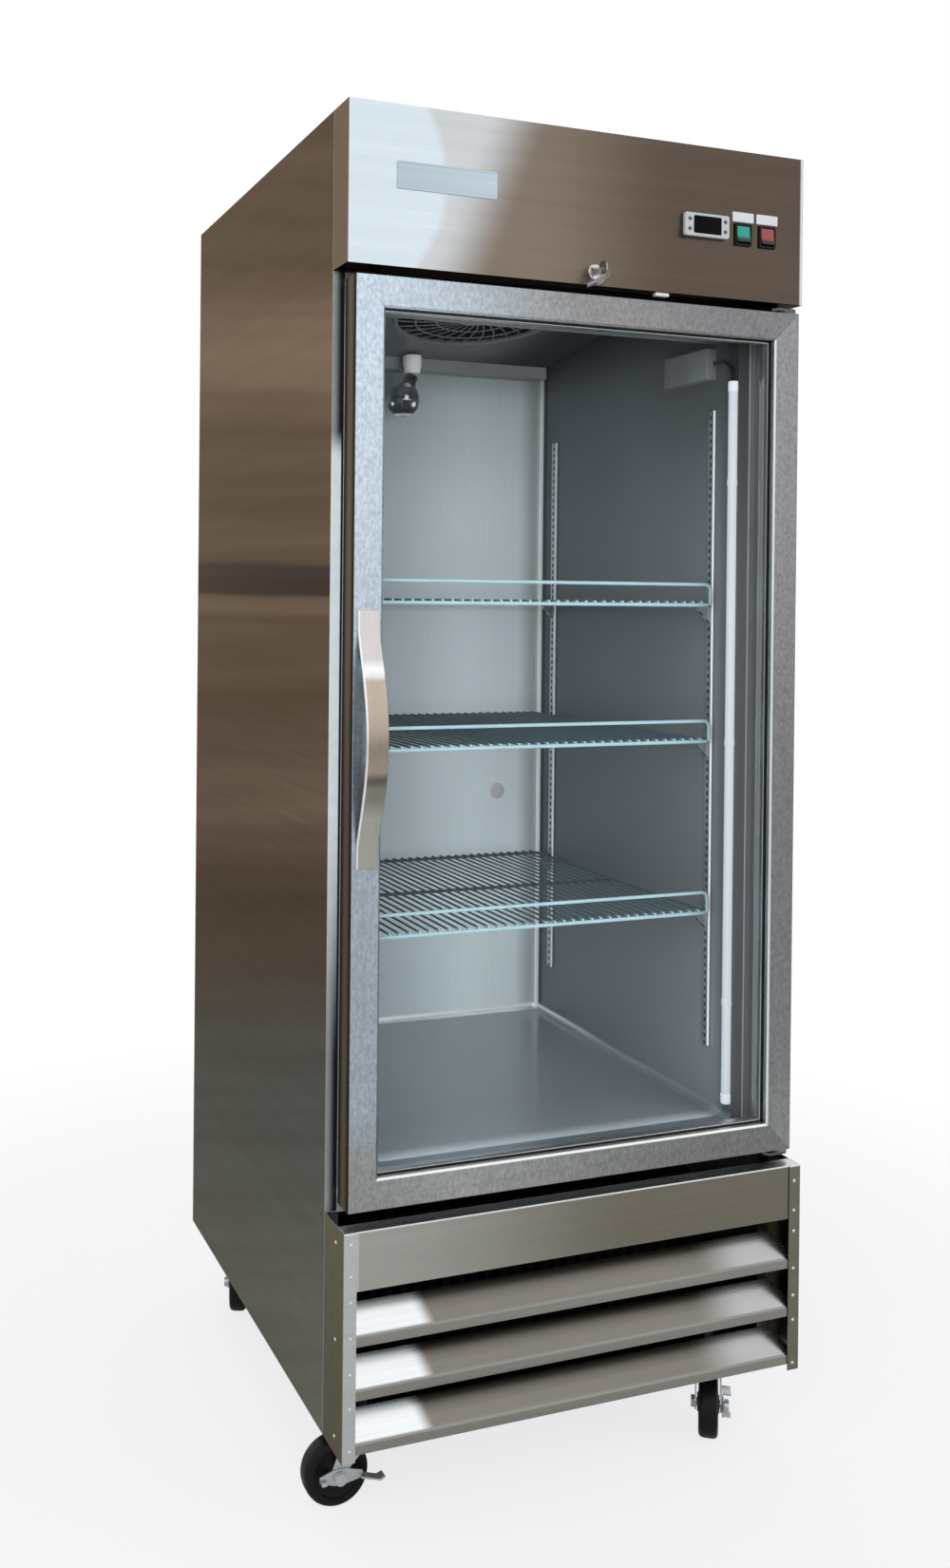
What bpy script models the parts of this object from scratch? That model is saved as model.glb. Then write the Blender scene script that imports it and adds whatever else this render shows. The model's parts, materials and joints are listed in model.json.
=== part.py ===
"""Reach-in refrigerator with one glass door: every piece, in metres, +Z up, front towards -Y."""

import math

import bmesh
import bpy
from mathutils import Matrix, Vector

# Driving sizes of the cabinet
WIDTH = 0.757
CABINET_DEPTH = 0.740
HEIGHT = 2.010
CASTER_HEIGHT = 0.130
HEADER_HEIGHT = 0.227
HEADER_REACH = 0.058
GRILLE_HEIGHT = 0.318
GRILLE_REACH = 0.078
BAND_HEIGHT = 0.083
BAND_FOLD = 0.025
LOUVER_PITCH = 0.0745
LOUVER_LIP = 0.013
LOUVER_SLOPE = 0.034
LOUVER_TAPER = 0.9
SIDE_WALL = 0.073
REAR_WALL = 0.090
ROOF = 0.065
SHEET = 0.0012
RETURN = 0.018
ROOF_FOLD = 0.035
BASE_RIM = 0.025

# Clearances
GAP = 0.0003
HEAD_GAP = 0.015
FOOT_GAP = 0.021
SIDE_GAP = 0.0105
PIN_GAP = 0.0004

# Driving sizes of the door
DOOR_THICKNESS = 0.042
GASKET_DEPTH = 0.024
RAIL = 0.044
GROOVE_DEPTH = 0.014
LIP = 0.0095
REAR_LIP = 0.0075
PANE = 0.004
GASKET_WIDTH = 0.022
GASKET_SIDE_INSET = 0.021
GASKET_END_INSET = 0.006
HINGE_INSET = 0.0185
PIN_RADIUS = 0.005
PIN_REACH = 0.020

# Driving sizes of the handle
HANDLE_LENGTH = 0.358
HANDLE_WIDTH = 0.032
HANDLE_BOW = 0.042
HANDLE_THICKNESS = 0.005
HANDLE_FOOT = 0.040
HANDLE_Z = 1.125

# Driving sizes of the shelves
SHELF_1_HEIGHT = 0.315
SHELF_2_HEIGHT = 0.592
SHELF_3_HEIGHT = 0.812
SHELF_WIRES = 24
WIRE = 0.004
FRAME_WIRE = 0.006
SHELF_SIDE_GAP = 0.009
SHELF_FRONT = 0.050
SHELF_BACK_GAP = 0.020
SHELF_LIP = 0.033
STANDARD_FRONT = 0.066
STANDARD_BACK = 0.062
STANDARD_WIDTH = 0.016
STANDARD_DEPTH = 0.005
STANDARD_FOOT = 0.100
STANDARD_HEAD = 0.105
CLIP_REACH = 0.022
CLIP_HEIGHT = 0.026

# Driving sizes of the strip lamp
LED_WIDTH = 0.014
LED_FLAT = 0.004

# Driving sizes of the casters
WHEEL_RADIUS = 0.050
WHEEL_FACETS = 20
HUB_WIDTH = 0.034
CASTER_TRAIL = 0.044
CASTER_INSET = 0.0785
CASTER_FRONT = 0.045
CASTER_REAR = 0.060
AXLE_RADIUS = 0.006
STEM_RADIUS = 0.007
FORK_PLATE = 0.0025

# Driving sizes of the cooling machine
EVAPORATOR_FRONT = 0.100
EVAPORATOR_TROUGH = 0.040
EVAPORATOR_SLOPE = 0.14
EVAPORATOR_FAN = 0.130
EVAPORATOR_HUB = 0.040
COIL_DEPTH = 0.091
COIL_SIDE = 0.060
COIL_LIFT = 0.055
FAN_GAP = 0.025
COMPRESSOR_RADIUS = 0.092
COMPRESSOR_HEIGHT = 0.195
COMPRESSOR_SIDE = 0.186
COMPRESSOR_BACK = 0.260
CONDENSER_FAN = 0.100
CONDENSER_HUB = 0.030
CONDENSER_DEPTH = 0.055
CONDENSER_FRONT = 0.050
CONDENSER_LEFT = 0.091
CONDENSER_RIGHT = 0.111
MOTOR_RADIUS = 0.036
MOTOR_LENGTH = 0.060
MOTOR_GAP = 0.075
SPOKE_START = 0.030
SHAFT_FOOT = 0.030
SHAFT_HEAD = 0.050
LAMP_BACK = 0.025

# Driving sizes of the controls
CONTROLLER_WIDTH = 0.0785
CONTROLLER_HEIGHT = 0.0345
CONTROLLER_SIDE = 0.179
CONTROLLER_DROP = 0.121
SWITCH_WIDTH = 0.030
SWITCH_HEIGHT = 0.034
SWITCH_PITCH = 0.044
SWITCH_SIDE = 0.0667
SWITCH_DROP = 0.1275

# Positions that follow from the sizes
HALF = WIDTH / 2
DOOR_REACH = DOOR_THICKNESS + GASKET_DEPTH
FRONT_REACH = DOOR_REACH + GAP + HANDLE_BOW
FACE_Y = (FRONT_REACH - CABINET_DEPTH) / 2
BACK_Y = FACE_Y + CABINET_DEPTH
INNER_HALF = HALF - SIDE_WALL
INNER_BACK = BACK_Y - REAR_WALL
HEADER_Z = HEIGHT - HEADER_HEIGHT
GRILLE_TOP = CASTER_HEIGHT + GRILLE_HEIGHT
DOOR_TOP = HEADER_Z - HEAD_GAP
DOOR_BOTTOM = GRILLE_TOP + FOOT_GAP
DOOR_HALF = HALF - SIDE_GAP
DOOR_FRONT = FACE_Y - DOOR_REACH
DOOR_BACK = FACE_Y - GASKET_DEPTH
FLOOR_Z = DOOR_BOTTOM + 0.031
BOX_BOTTOM = FLOOR_Z - 0.055
CEILING_Z = HEIGHT - ROOF
LINTEL_Z = DOOR_TOP - 0.033
LINTEL_BACK = FACE_Y + 0.050
HINGE_X = DOOR_HALF - HINGE_INSET
HINGE_Y = DOOR_FRONT + DOOR_THICKNESS / 2
HEADER_FRONT = FACE_Y - HEADER_REACH
LOCK_X = 0.010
LOCK_Z = HEADER_Z + 0.020
CAM_LENGTH = LOCK_Z - DOOR_TOP + 0.012
CAM_Y = HEADER_FRONT + 0.024
AXLE_Z = WHEEL_RADIUS * math.cos(math.pi / WHEEL_FACETS)
DECK_Z = CASTER_HEIGHT + 2 * SHEET + GAP
MID_DOOR_Z = (DOOR_TOP + DOOR_BOTTOM) / 2
SHELF_LEVELS = [FLOOR_Z + rise for rise in (SHELF_1_HEIGHT, SHELF_2_HEIGHT, SHELF_3_HEIGHT)]
TROUGH_Y = INNER_BACK - EVAPORATOR_TROUGH
TROUGH_Z = DOOR_TOP + 0.013

# Colour, metallic and roughness of each finish
FINISH_VALUES = {
    "stainless": ((0.60, 0.59, 0.58), 1.0, 0.32),
    "liner_steel": ((0.50, 0.53, 0.56), 1.0, 0.40),
    "galvanised": ((0.55, 0.57, 0.58), 1.0, 0.45),
    "zinc": ((0.70, 0.71, 0.72), 1.0, 0.30),
    "chrome": ((0.85, 0.85, 0.86), 1.0, 0.10),
    "aluminium": ((0.72, 0.73, 0.74), 1.0, 0.35),
    "foam": ((0.85, 0.80, 0.62), 0.0, 0.90),
    "black_paint": ((0.03, 0.03, 0.03), 0.0, 0.50),
    "black_plastic": ((0.02, 0.02, 0.02), 0.0, 0.45),
    "white_plastic": ((0.85, 0.86, 0.86), 0.0, 0.40),
    "grey_plastic": ((0.55, 0.57, 0.58), 0.0, 0.45),
    "green_plastic": ((0.02, 0.45, 0.28), 0.0, 0.25),
    "red_plastic": ((0.50, 0.03, 0.04), 0.0, 0.25),
    "coated_wire": ((0.45, 0.62, 0.64), 0.0, 0.40),
    "rubber": ((0.02, 0.02, 0.02), 0.0, 0.70),
    "gasket_rubber": ((0.20, 0.20, 0.21), 0.0, 0.70),
    "glass": ((0.90, 0.95, 0.95), 0.0, 0.05),
}
FINISHES = {}


def make_finishes():
    """One Principled material for each finish."""
    for name, (colour, metallic, roughness) in FINISH_VALUES.items():
        material = bpy.data.materials.new(name)
        material.use_nodes = True
        shader = material.node_tree.nodes["Principled BSDF"]
        shader.inputs["Base Color"].default_value = (*colour, 1.0)
        shader.inputs["Metallic"].default_value = metallic
        shader.inputs["Roughness"].default_value = roughness
        FINISHES[name] = material


def piece_from(name, bm, finish):
    """A bmesh as a named object, its faces turned outwards."""
    bmesh.ops.remove_doubles(bm, verts=bm.verts, dist=1e-6)
    bmesh.ops.recalc_face_normals(bm, faces=bm.faces)
    mesh = bpy.data.meshes.new(name)
    bm.to_mesh(mesh)
    bm.free()
    piece = bpy.data.objects.new(name, mesh)
    bpy.context.collection.objects.link(piece)
    mesh.materials.append(FINISHES[finish])
    return piece


def add_box(bm, low, high):
    """A box between two corners, added to a bmesh."""
    size = Vector(high) - Vector(low)
    middle = (Vector(high) + Vector(low)) / 2
    place = Matrix.Translation(middle) @ Matrix.Diagonal((*size, 1.0))
    bmesh.ops.create_cube(bm, size=1.0, matrix=place)


def boxes(name, corners, finish="galvanised"):
    """Separate boxes as one object, each given by its low and high corner."""
    bm = bmesh.new()
    for low, high in corners:
        add_box(bm, low, high)
    return piece_from(name, bm, finish)


def box(name, low, high, finish="galvanised"):
    return boxes(name, [(low, high)], finish)


def at_axis(axis, u, v, w):
    """A point from outline coordinates u and v and the distance w along the axis."""
    if axis == "X":
        return Vector((w, u, v))
    if axis == "Y":
        return Vector((u, w, v))
    return Vector((u, v, w))


def prism(name, outline, axis, low, high, finish="galvanised"):
    """An outline extruded along an axis."""
    bm = bmesh.new()
    corners = [bm.verts.new(at_axis(axis, u, v, low)) for u, v in outline]
    face = bm.faces.new(corners)
    made = bmesh.ops.extrude_face_region(bm, geom=[face])["geom"]
    moved = [item for item in made if isinstance(item, bmesh.types.BMVert)]
    bmesh.ops.translate(bm, verts=moved, vec=at_axis(axis, 0.0, 0.0, high - low))
    return piece_from(name, bm, finish)


def sheet_outline(path, thickness):
    """The closed outline of a folded sheet: the path, and the path moved to its left by the thickness."""
    points = [Vector(p) for p in path]
    ways = [(b - a).normalized() for a, b in zip(points, points[1:])]
    sides = [Vector((-way.y, way.x)) for way in ways]
    moved = [points[0] + sides[0] * thickness]
    for corner, before, after in zip(points[1:], sides, sides[1:]):
        mitre = (before + after).normalized()
        moved.append(corner + mitre * thickness / mitre.dot(before))
    moved.append(points[-1] + sides[-1] * thickness)
    return [tuple(p) for p in points] + [tuple(p) for p in reversed(moved)]


def grown(outline, distance):
    """An outline that runs anticlockwise, moved outwards by a distance."""
    points = [Vector(p) for p in outline]
    result = []
    for before, corner, after in zip(points[-1:] + points, points, points[1:] + points[:1]):
        one = (corner - before).normalized()
        two = (after - corner).normalized()
        side_one = Vector((one.y, -one.x))
        side_two = Vector((two.y, -two.x))
        mitre = (side_one + side_two).normalized()
        result.append(tuple(corner + mitre * distance / mitre.dot(side_one)))
    return result


def circle(radius, sides, centre=(0.0, 0.0)):
    """Points round a circle, a flat facet towards each axis."""
    turns = [2 * math.pi * (i + 0.5) / sides for i in range(sides)]
    return [(centre[0] + radius * math.cos(t), centre[1] + radius * math.sin(t)) for t in turns]


def rounded(width, height, radius, centre=(0.0, 0.0), steps=2):
    """A rectangle with rounded corners."""
    points = []
    for quarter in range(4):
        sx = 1 if quarter in (0, 3) else -1
        sy = 1 if quarter in (0, 1) else -1
        corner = (sx * (width / 2 - radius), sy * (height / 2 - radius))
        for i in range(steps + 1):
            turn = math.pi / 2 * (quarter + i / steps)
            x = centre[0] + corner[0] + radius * math.cos(turn)
            y = centre[1] + corner[1] + radius * math.sin(turn)
            points.append((x, y))
    return points


def turned(name, profile, sides, finish="galvanised", closed=False):
    """A profile of (radius, height) points turned round the Z axis. A closed profile makes a ring."""
    bm = bmesh.new()
    start = math.pi / sides
    points = [bm.verts.new((r * math.cos(start), r * math.sin(start), h)) for r, h in profile]
    pairs = list(zip(points, points[1:]))
    if closed:
        pairs.append((points[-1], points[0]))
    edges = [bm.edges.new(pair) for pair in pairs]
    bmesh.ops.spin(
        bm,
        geom=points + edges,
        cent=(0, 0, 0),
        axis=(0, 0, 1),
        angle=2 * math.pi,
        steps=sides,
        use_merge=True,
    )
    return piece_from(name, bm, finish)


def place(piece, matrix):
    """Move the mesh of a piece, leaving the object itself at the origin."""
    piece.data.transform(matrix)
    piece.data.update()
    return piece


def along_y(point):
    """A place whose own Z axis runs along the world's Y."""
    return Matrix.Translation(point) @ Matrix.Rotation(-math.pi / 2, 4, "X")


def combine(piece, tool, operation="DIFFERENCE"):
    """Cut a piece with a tool, or join the tool to it. The tool stays as a hidden helper."""
    modifier = piece.modifiers.new(operation.title(), "BOOLEAN")
    modifier.operation = operation
    modifier.solver = "EXACT"
    modifier.object = tool
    tool.hide_render = True
    tool.display_type = "WIRE"
    return piece


def join(piece, tool):
    return combine(piece, tool, "UNION")


def pivot(piece, point):
    """Put the origin of a moving piece on its joint axis."""
    piece.data.transform(Matrix.Translation(-Vector(point)))
    piece.location = point
    return piece


def build_shell():
    """Folded outer panels, each butted to the next with a small gap."""
    for side, name in ((-1, "left_side_panel"), (1, "right_side_panel")):
        path = [(side * (HALF - RETURN), FACE_Y), (side * HALF, FACE_Y), (side * HALF, BACK_Y)]
        outline = sheet_outline(path if side > 0 else path[::-1], SHEET)
        prism(name, outline, "Z", CASTER_HEIGHT, HEIGHT, "stainless")
    reach = HALF - SHEET - GAP
    front = FACE_Y + SHEET + GAP
    fold = [(front, HEIGHT - ROOF_FOLD), (front, HEIGHT), (BACK_Y, HEIGHT)]
    outline = sheet_outline(fold[::-1], SHEET)
    prism("top_panel", outline, "X", -reach, reach, "stainless")
    low = (-reach, BACK_Y - SHEET, CASTER_HEIGHT)
    high = (reach, BACK_Y, HEIGHT - SHEET - GAP)
    rear = box("rear_panel", low, high, "galvanised")
    slots = []
    for row in range(6):
        z = CASTER_HEIGHT + 0.070 + row * 0.036
        for x in (-0.17, 0.17):
            slots.append(((x - 0.11, BACK_Y - 0.02, z), (x + 0.11, BACK_Y + 0.02, z + 0.014)))
    combine(rear, boxes("rear_slots", slots))


def liner_outline():
    """Side view of the inside space: floor, rear wall, ceiling and the lintel over the doorway."""
    return [
        (FACE_Y - 0.05, FLOOR_Z),
        (INNER_BACK, FLOOR_Z),
        (INNER_BACK, CEILING_Z),
        (LINTEL_BACK, CEILING_Z),
        (LINTEL_BACK, LINTEL_Z),
        (FACE_Y - 0.05, LINTEL_Z),
    ]


def build_box():
    """Foam walls and the stainless liner with its front flange."""
    inside = liner_outline()
    outside = [(max(y, FACE_Y + SHEET / 2), z) for y, z in grown(inside, SHEET)]
    reach = HALF - RETURN - GAP
    low = (-reach, FACE_Y, BOX_BOTTOM)
    high = (reach, FACE_Y + SHEET, HEIGHT - 0.040)
    liner = box("inner_liner", low, high, "liner_steel")
    shell_half = INNER_HALF + SHEET
    join(liner, prism("liner_shell", outside, "X", -shell_half, shell_half))
    hollow = prism("liner_hollow", inside, "X", -INNER_HALF, INNER_HALF)
    bm = bmesh.new()
    bm.from_mesh(hollow.data)
    coves = []
    for edge in bm.edges:
        ends = [v.co for v in edge.verts]
        at_back = all(abs(p.y - INNER_BACK) < 1e-5 for p in ends)
        at_floor = all(abs(p.z - FLOOR_Z) < 1e-5 for p in ends)
        at_side = abs(ends[0].x - ends[1].x) < 1e-5
        if (at_back and (at_side or at_floor)) or (at_floor and at_side):
            coves.append(edge)
    bmesh.ops.bevel(bm, geom=coves, offset=0.010, segments=2, profile=0.5, affect="EDGES")
    bmesh.ops.recalc_face_normals(bm, faces=bm.faces)
    bm.to_mesh(hollow.data)
    bm.free()
    combine(liner, hollow)
    half = HALF - SHEET - GAP
    low = (-half, FACE_Y + SHEET + GAP, BOX_BOTTOM)
    high = (half, BACK_Y - SHEET - GAP, HEIGHT - SHEET - GAP)
    foam = box("foam_insulation", low, high, "foam")
    room = INNER_HALF + SHEET + GAP
    combine(foam, prism("foam_hollow", grown(inside, SHEET + GAP), "X", -room, room))
    fold = ROOF_FOLD + GAP
    low = (-HALF, FACE_Y, HEIGHT - fold)
    high = (HALF, FACE_Y + 2 * SHEET + 2 * GAP, HEIGHT + 0.01)
    combine(foam, box("foam_front_step", low, high))


def build_header():
    """Header box with its cut-outs, the controls and the lock."""
    low = (-HALF, HEADER_FRONT, HEADER_Z)
    high = (HALF, FACE_Y - GAP, HEIGHT)
    header = box("header_panel", low, high, "stainless")
    low = (-HALF + SHEET, HEADER_FRONT + SHEET, HEADER_Z + SHEET)
    high = (HALF - SHEET, FACE_Y + 0.05, HEIGHT - SHEET)
    combine(header, box("header_hollow", low, high))
    build_controller(header)
    switch_z = HEIGHT - SWITCH_DROP
    build_switch(header, "light", HALF - SWITCH_SIDE - SWITCH_PITCH, switch_z, "green_plastic")
    build_switch(header, "power", HALF - SWITCH_SIDE, switch_z, "red_plastic")
    build_lock(header)


def build_controller(header):
    """Digital controller: a rounded bezel with a sunk display, and its body behind the sheet."""
    x = HALF - CONTROLLER_SIDE
    z = HEIGHT - CONTROLLER_DROP
    half_width = CONTROLLER_WIDTH / 2
    half_height = CONTROLLER_HEIGHT / 2
    edge = 0.003
    front = HEADER_FRONT - 0.007
    outline = rounded(CONTROLLER_WIDTH, CONTROLLER_HEIGHT, edge, (x, z))
    bezel = prism("temperature_controller", outline, "Y", front, HEADER_FRONT - GAP, "grey_plastic")
    low = (x - half_width + edge, HEADER_FRONT - 0.002, z - half_height + edge)
    high = (x + half_width - edge, FACE_Y - 0.008, z + half_height - edge)
    join(bezel, box("controller_body", low, high))
    window = rounded(0.56 * CONTROLLER_WIDTH, 0.70 * CONTROLLER_HEIGHT, 0.002, (x - 0.002, z))
    combine(bezel, prism("controller_window", window, "Y", front - 0.01, front + 0.0012))
    hole_low = (low[0] - GAP, low[1] - 0.02, low[2] - GAP)
    hole_high = (high[0] + GAP, HEADER_FRONT + 0.01, high[2] + GAP)
    combine(header, box("controller_hole", hole_low, hole_high))


def build_switch(header, name, x, z, finish):
    """Rocker switch: a black frame with an open well, and the rocker on its cross axis."""
    half_width = SWITCH_WIDTH / 2
    half_height = SWITCH_HEIGHT / 2
    edge = 0.002
    wall = 0.0035
    front = HEADER_FRONT - 0.003
    outline = rounded(SWITCH_WIDTH, SWITCH_HEIGHT, edge, (x, z))
    frame = prism(name + "_switch_frame", outline, "Y", front, HEADER_FRONT - GAP, "black_plastic")
    low = (x - half_width + edge, HEADER_FRONT - 0.001, z - half_height + edge)
    high = (x + half_width - edge, FACE_Y - 0.015, z + half_height - edge)
    join(frame, box(name + "_switch_body", low, high))
    well_low = (x - half_width + wall, front - 0.01, z - half_height + wall)
    well_high = (x + half_width - wall, front + 0.016, z + half_height - wall)
    combine(frame, box(name + "_switch_well", well_low, well_high))
    hole_low = (low[0] - GAP, HEADER_FRONT - 0.01, low[2] - GAP)
    hole_high = (high[0] + GAP, HEADER_FRONT + 0.01, high[2] + GAP)
    combine(header, box(name + "_switch_hole", hole_low, hole_high))
    half = half_height - wall - 0.0014
    axis_y = front + 0.0045
    side = [(-0.0052, half), (-0.0040, 0.0), (-0.0052, -half), (0.0050, -half + 0.002)]
    side += [(0.0085, 0.0), (0.0050, half - 0.002)]
    tilt = Matrix.Rotation(math.radians(-8), 2)
    outline = [tuple(Vector((axis_y, z)) + tilt @ Vector(p)) for p in side]
    reach = half_width - wall - GAP
    rocker = prism(name + "_rocker", outline, "X", x - reach, x + reach, finish)
    pivot(rocker, (x, axis_y, z))


def build_lock(header):
    """Cam lock: barrel in the header, and the plug with its key and cam that turns in it."""
    point = Vector((LOCK_X, HEADER_FRONT, LOCK_Z))
    barrel_profile = [(0.0063, -0.004), (0.0105, -0.004), (0.0120, -0.0025), (0.0120, -GAP)]
    barrel_profile += [(0.0090, -GAP), (0.0090, 0.020), (0.0063, 0.020)]
    barrel = turned("lock_barrel", barrel_profile, 16, "chrome", closed=True)
    place(barrel, along_y(point))
    hole = turned("lock_hole", [(0, -0.02), (0.0090 + GAP, -0.02), (0.0090 + GAP, 0.01), (0, 0.01)], 16)
    combine(header, place(hole, along_y(point)))
    length = CAM_Y + 0.004 - HEADER_FRONT
    plug = turned("lock_key", [(0, -0.005), (0.006, -0.005), (0.006, length), (0, length)], 12, "chrome")
    place(plug, along_y(point))
    cam_low = (LOCK_X - 0.007, CAM_Y, LOCK_Z - 0.005)
    cam_high = (LOCK_X + CAM_LENGTH, CAM_Y + 0.003, LOCK_Z + 0.005)
    join(plug, box("lock_cam", cam_low, cam_high))
    blade_low = (LOCK_X - 0.001, HEADER_FRONT - 0.018, LOCK_Z - 0.0035)
    blade_high = (LOCK_X + 0.001, HEADER_FRONT - 0.002, LOCK_Z + 0.0035)
    join(plug, box("key_blade", blade_low, blade_high))
    bow_y = HEADER_FRONT - 0.024
    bow = rounded(0.020, 0.022, 0.007, (bow_y, LOCK_Z), 3)
    join(plug, prism("key_bow", bow, "X", LOCK_X - 0.0012, LOCK_X + 0.0012))
    eye = circle(0.003, 10, (bow_y - 0.004, LOCK_Z))
    combine(plug, prism("key_eye", eye, "X", LOCK_X - 0.02, LOCK_X + 0.02))
    pivot(plug, point)
    slot_low = (LOCK_X - 0.009, CAM_Y - 0.0015, HEADER_Z - 0.01)
    slot_high = (LOCK_X + CAM_LENGTH + 0.003, CAM_Y + 0.0045, HEADER_Z + 0.006)
    combine(header, box("header_cam_slot", slot_low, slot_high))


def door_point(side, u, v, s):
    """A point of the door frame: u inwards from the outer edge, v back from the front, s along the side."""
    y = DOOR_FRONT + v
    if side == "left":
        return Vector((-DOOR_HALF + u, y, MID_DOOR_Z + s))
    if side == "right":
        return Vector((DOOR_HALF - u, y, MID_DOOR_Z + s))
    if side == "top":
        return Vector((s, y, DOOR_TOP - u))
    return Vector((s, y, DOOR_BOTTOM + u))


def build_mitred_rail(name, side, length):
    """One side of the door frame, its ends mitred at 45 degrees, with the groove that holds the panes."""
    back = DOOR_THICKNESS - REAR_LIP
    groove = RAIL - GROOVE_DEPTH
    profile = [(0.0, 0.001), (0.001, 0.0), (RAIL - 0.003, 0.0), (RAIL, 0.0025), (RAIL, LIP), (groove, LIP)]
    profile += [(groove, back), (RAIL - 0.002, back), (RAIL - 0.002, DOOR_THICKNESS), (0.0, DOOR_THICKNESS)]
    bm = bmesh.new()
    rings = []
    for way in (-1, 1):
        ring = []
        for u, v in profile:
            s = way * (length / 2 - u - GAP / 2)
            ring.append(bm.verts.new(door_point(side, u, v, s)))
        rings.append(ring)
    for ring in rings:
        bm.faces.new(ring)
    count = len(profile)
    for i in range(count):
        j = (i + 1) % count
        bm.faces.new((rings[0][i], rings[0][j], rings[1][j], rings[1][i]))
    return piece_from(name, bm, "stainless")


def build_gasket():
    """Door gasket: a bellows section run round the door as one ring."""
    half = DOOR_HALF - GASKET_SIDE_INSET
    top = DOOR_TOP - GASKET_END_INSET
    bottom = DOOR_BOTTOM + GASKET_END_INSET
    near = DOOR_BACK + GAP
    far = FACE_Y - GAP
    waist = (near + far) / 2
    width = GASKET_WIDTH
    profile = [(0.0, near), (0.0, near + 0.005), (0.004, waist), (0.0, far - 0.005), (0.0, far)]
    profile += [(width, far), (width, far - 0.005), (width - 0.004, waist)]
    profile += [(width, near + 0.005), (width, near)]
    bm = bmesh.new()
    rings = []
    for x_way, z_way in ((-1, -1), (1, -1), (1, 1), (-1, 1)):
        ring = []
        for u, y in profile:
            z = top - u if z_way > 0 else bottom + u
            ring.append(bm.verts.new((x_way * (half - u), y, z)))
        rings.append(ring)
    count = len(profile)
    for one, two in zip(rings, rings[1:] + rings[:1]):
        for i in range(count):
            j = (i + 1) % count
            bm.faces.new((one[i], one[j], two[j], two[i]))
    return piece_from("door_gasket", bm, "gasket_rubber")


def build_door():
    """Mitred frame, two panes, gasket and bow handle, all turning on the hinge axis."""
    axis = (HINGE_X, HINGE_Y, MID_DOOR_Z)
    height = DOOR_TOP - DOOR_BOTTOM
    width = 2 * DOOR_HALF
    rails = {}
    for side, name, length in (
        ("left", "door_left_stile", height),
        ("right", "door_right_stile", height),
        ("top", "door_top_rail", width),
        ("bottom", "door_bottom_rail", width),
    ):
        rails[side] = build_mitred_rail(name, side, length)
    depth = PIN_REACH + 0.002
    for side, edge, way in (("top", DOOR_TOP, -1), ("bottom", DOOR_BOTTOM, 1)):
        low, high = sorted((edge - way * 0.02, edge + way * depth))
        outline = circle(PIN_RADIUS + PIN_GAP, 16, (HINGE_X, HINGE_Y))
        bore = prism("hinge_bore_" + side, outline, "Z", low, high)
        combine(rails[side], bore)
        combine(rails["right"], bore)
    slot_low = (LOCK_X - 0.009, CAM_Y - 0.0015, LOCK_Z - CAM_LENGTH - 0.002)
    slot_high = (LOCK_X + 0.042, CAM_Y + 0.0045, DOOR_TOP + 0.01)
    combine(rails["top"], box("door_cam_slot", slot_low, slot_high))
    inset = RAIL - GROOVE_DEPTH + 0.003
    for name, start in (
        ("outer_pane", DOOR_FRONT + LIP + GAP),
        ("inner_pane", DOOR_BACK - REAR_LIP - GAP - PANE),
    ):
        low = (-DOOR_HALF + inset, start, DOOR_BOTTOM + inset)
        high = (DOOR_HALF - inset, start + PANE, DOOR_TOP - inset)
        pivot(box(name, low, high, "glass"), axis)
    pivot(build_gasket(), axis)
    for rail in rails.values():
        pivot(rail, axis)
    pivot(build_handle(), axis)


def build_handle():
    """Flat strap handle, bowed away from the door between two feet."""
    half = HANDLE_LENGTH / 2
    steps = 12
    outer = [(HANDLE_THICKNESS, -half)]
    for i in range(steps + 1):
        t = i / steps
        z = -half + HANDLE_FOOT + t * (HANDLE_LENGTH - 2 * HANDLE_FOOT)
        rise = math.sin(math.pi * t) ** 0.8 if 0 < t < 1 else 0.0
        outer.append((HANDLE_THICKNESS + (HANDLE_BOW - HANDLE_THICKNESS) * rise, z))
    outer.append((HANDLE_THICKNESS, half))
    inner = []
    for y, z in outer:
        inner.append((max(0.0, y - HANDLE_THICKNESS), z))
    outline = [(DOOR_FRONT - GAP - y, HANDLE_Z + z) for y, z in outer]
    outline += [(DOOR_FRONT - GAP - y, HANDLE_Z + z) for y, z in reversed(inner)]
    middle = -DOOR_HALF + RAIL / 2
    low = middle - HANDLE_WIDTH / 2
    return prism("door_handle", outline, "X", low, low + HANDLE_WIDTH, "stainless")


def build_hinges():
    """Upper and lower hinge bracket, each an angle on the face with its pin."""
    left = HINGE_X - 0.018
    right = HALF - 0.002
    leg_left = HINGE_X + 0.0015
    tip = HINGE_Y - 0.010
    for name, edge, way, gap in (("upper", DOOR_TOP, 1, HEAD_GAP), ("lower", DOOR_BOTTOM, -1, FOOT_GAP)):
        near = edge + way * gap * 0.35
        far = near + way * 0.004
        low_z, high_z = sorted((near, far))
        outline = [(left, FACE_Y - GAP), (left, tip + 0.008), (left + 0.008, tip), (right - 0.008, tip)]
        outline += [(right, tip + 0.008), (right, FACE_Y - GAP)]
        bracket = prism(name + "_hinge_bracket", outline, "Z", low_z, high_z, "zinc")
        low_z, high_z = sorted((edge - way * 0.050, near + way * 0.002))
        leg = box(name + "_hinge_leg", (leg_left, FACE_Y - GAP - 0.004, low_z), (right, FACE_Y - GAP, high_z))
        join(bracket, leg)
        low_z, high_z = sorted((edge - way * PIN_REACH, near + way * 0.002))
        pin = prism(name + "_hinge_pin", circle(PIN_RADIUS, 16, (HINGE_X, HINGE_Y)), "Z", low_z, high_z)
        join(bracket, pin)


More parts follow.
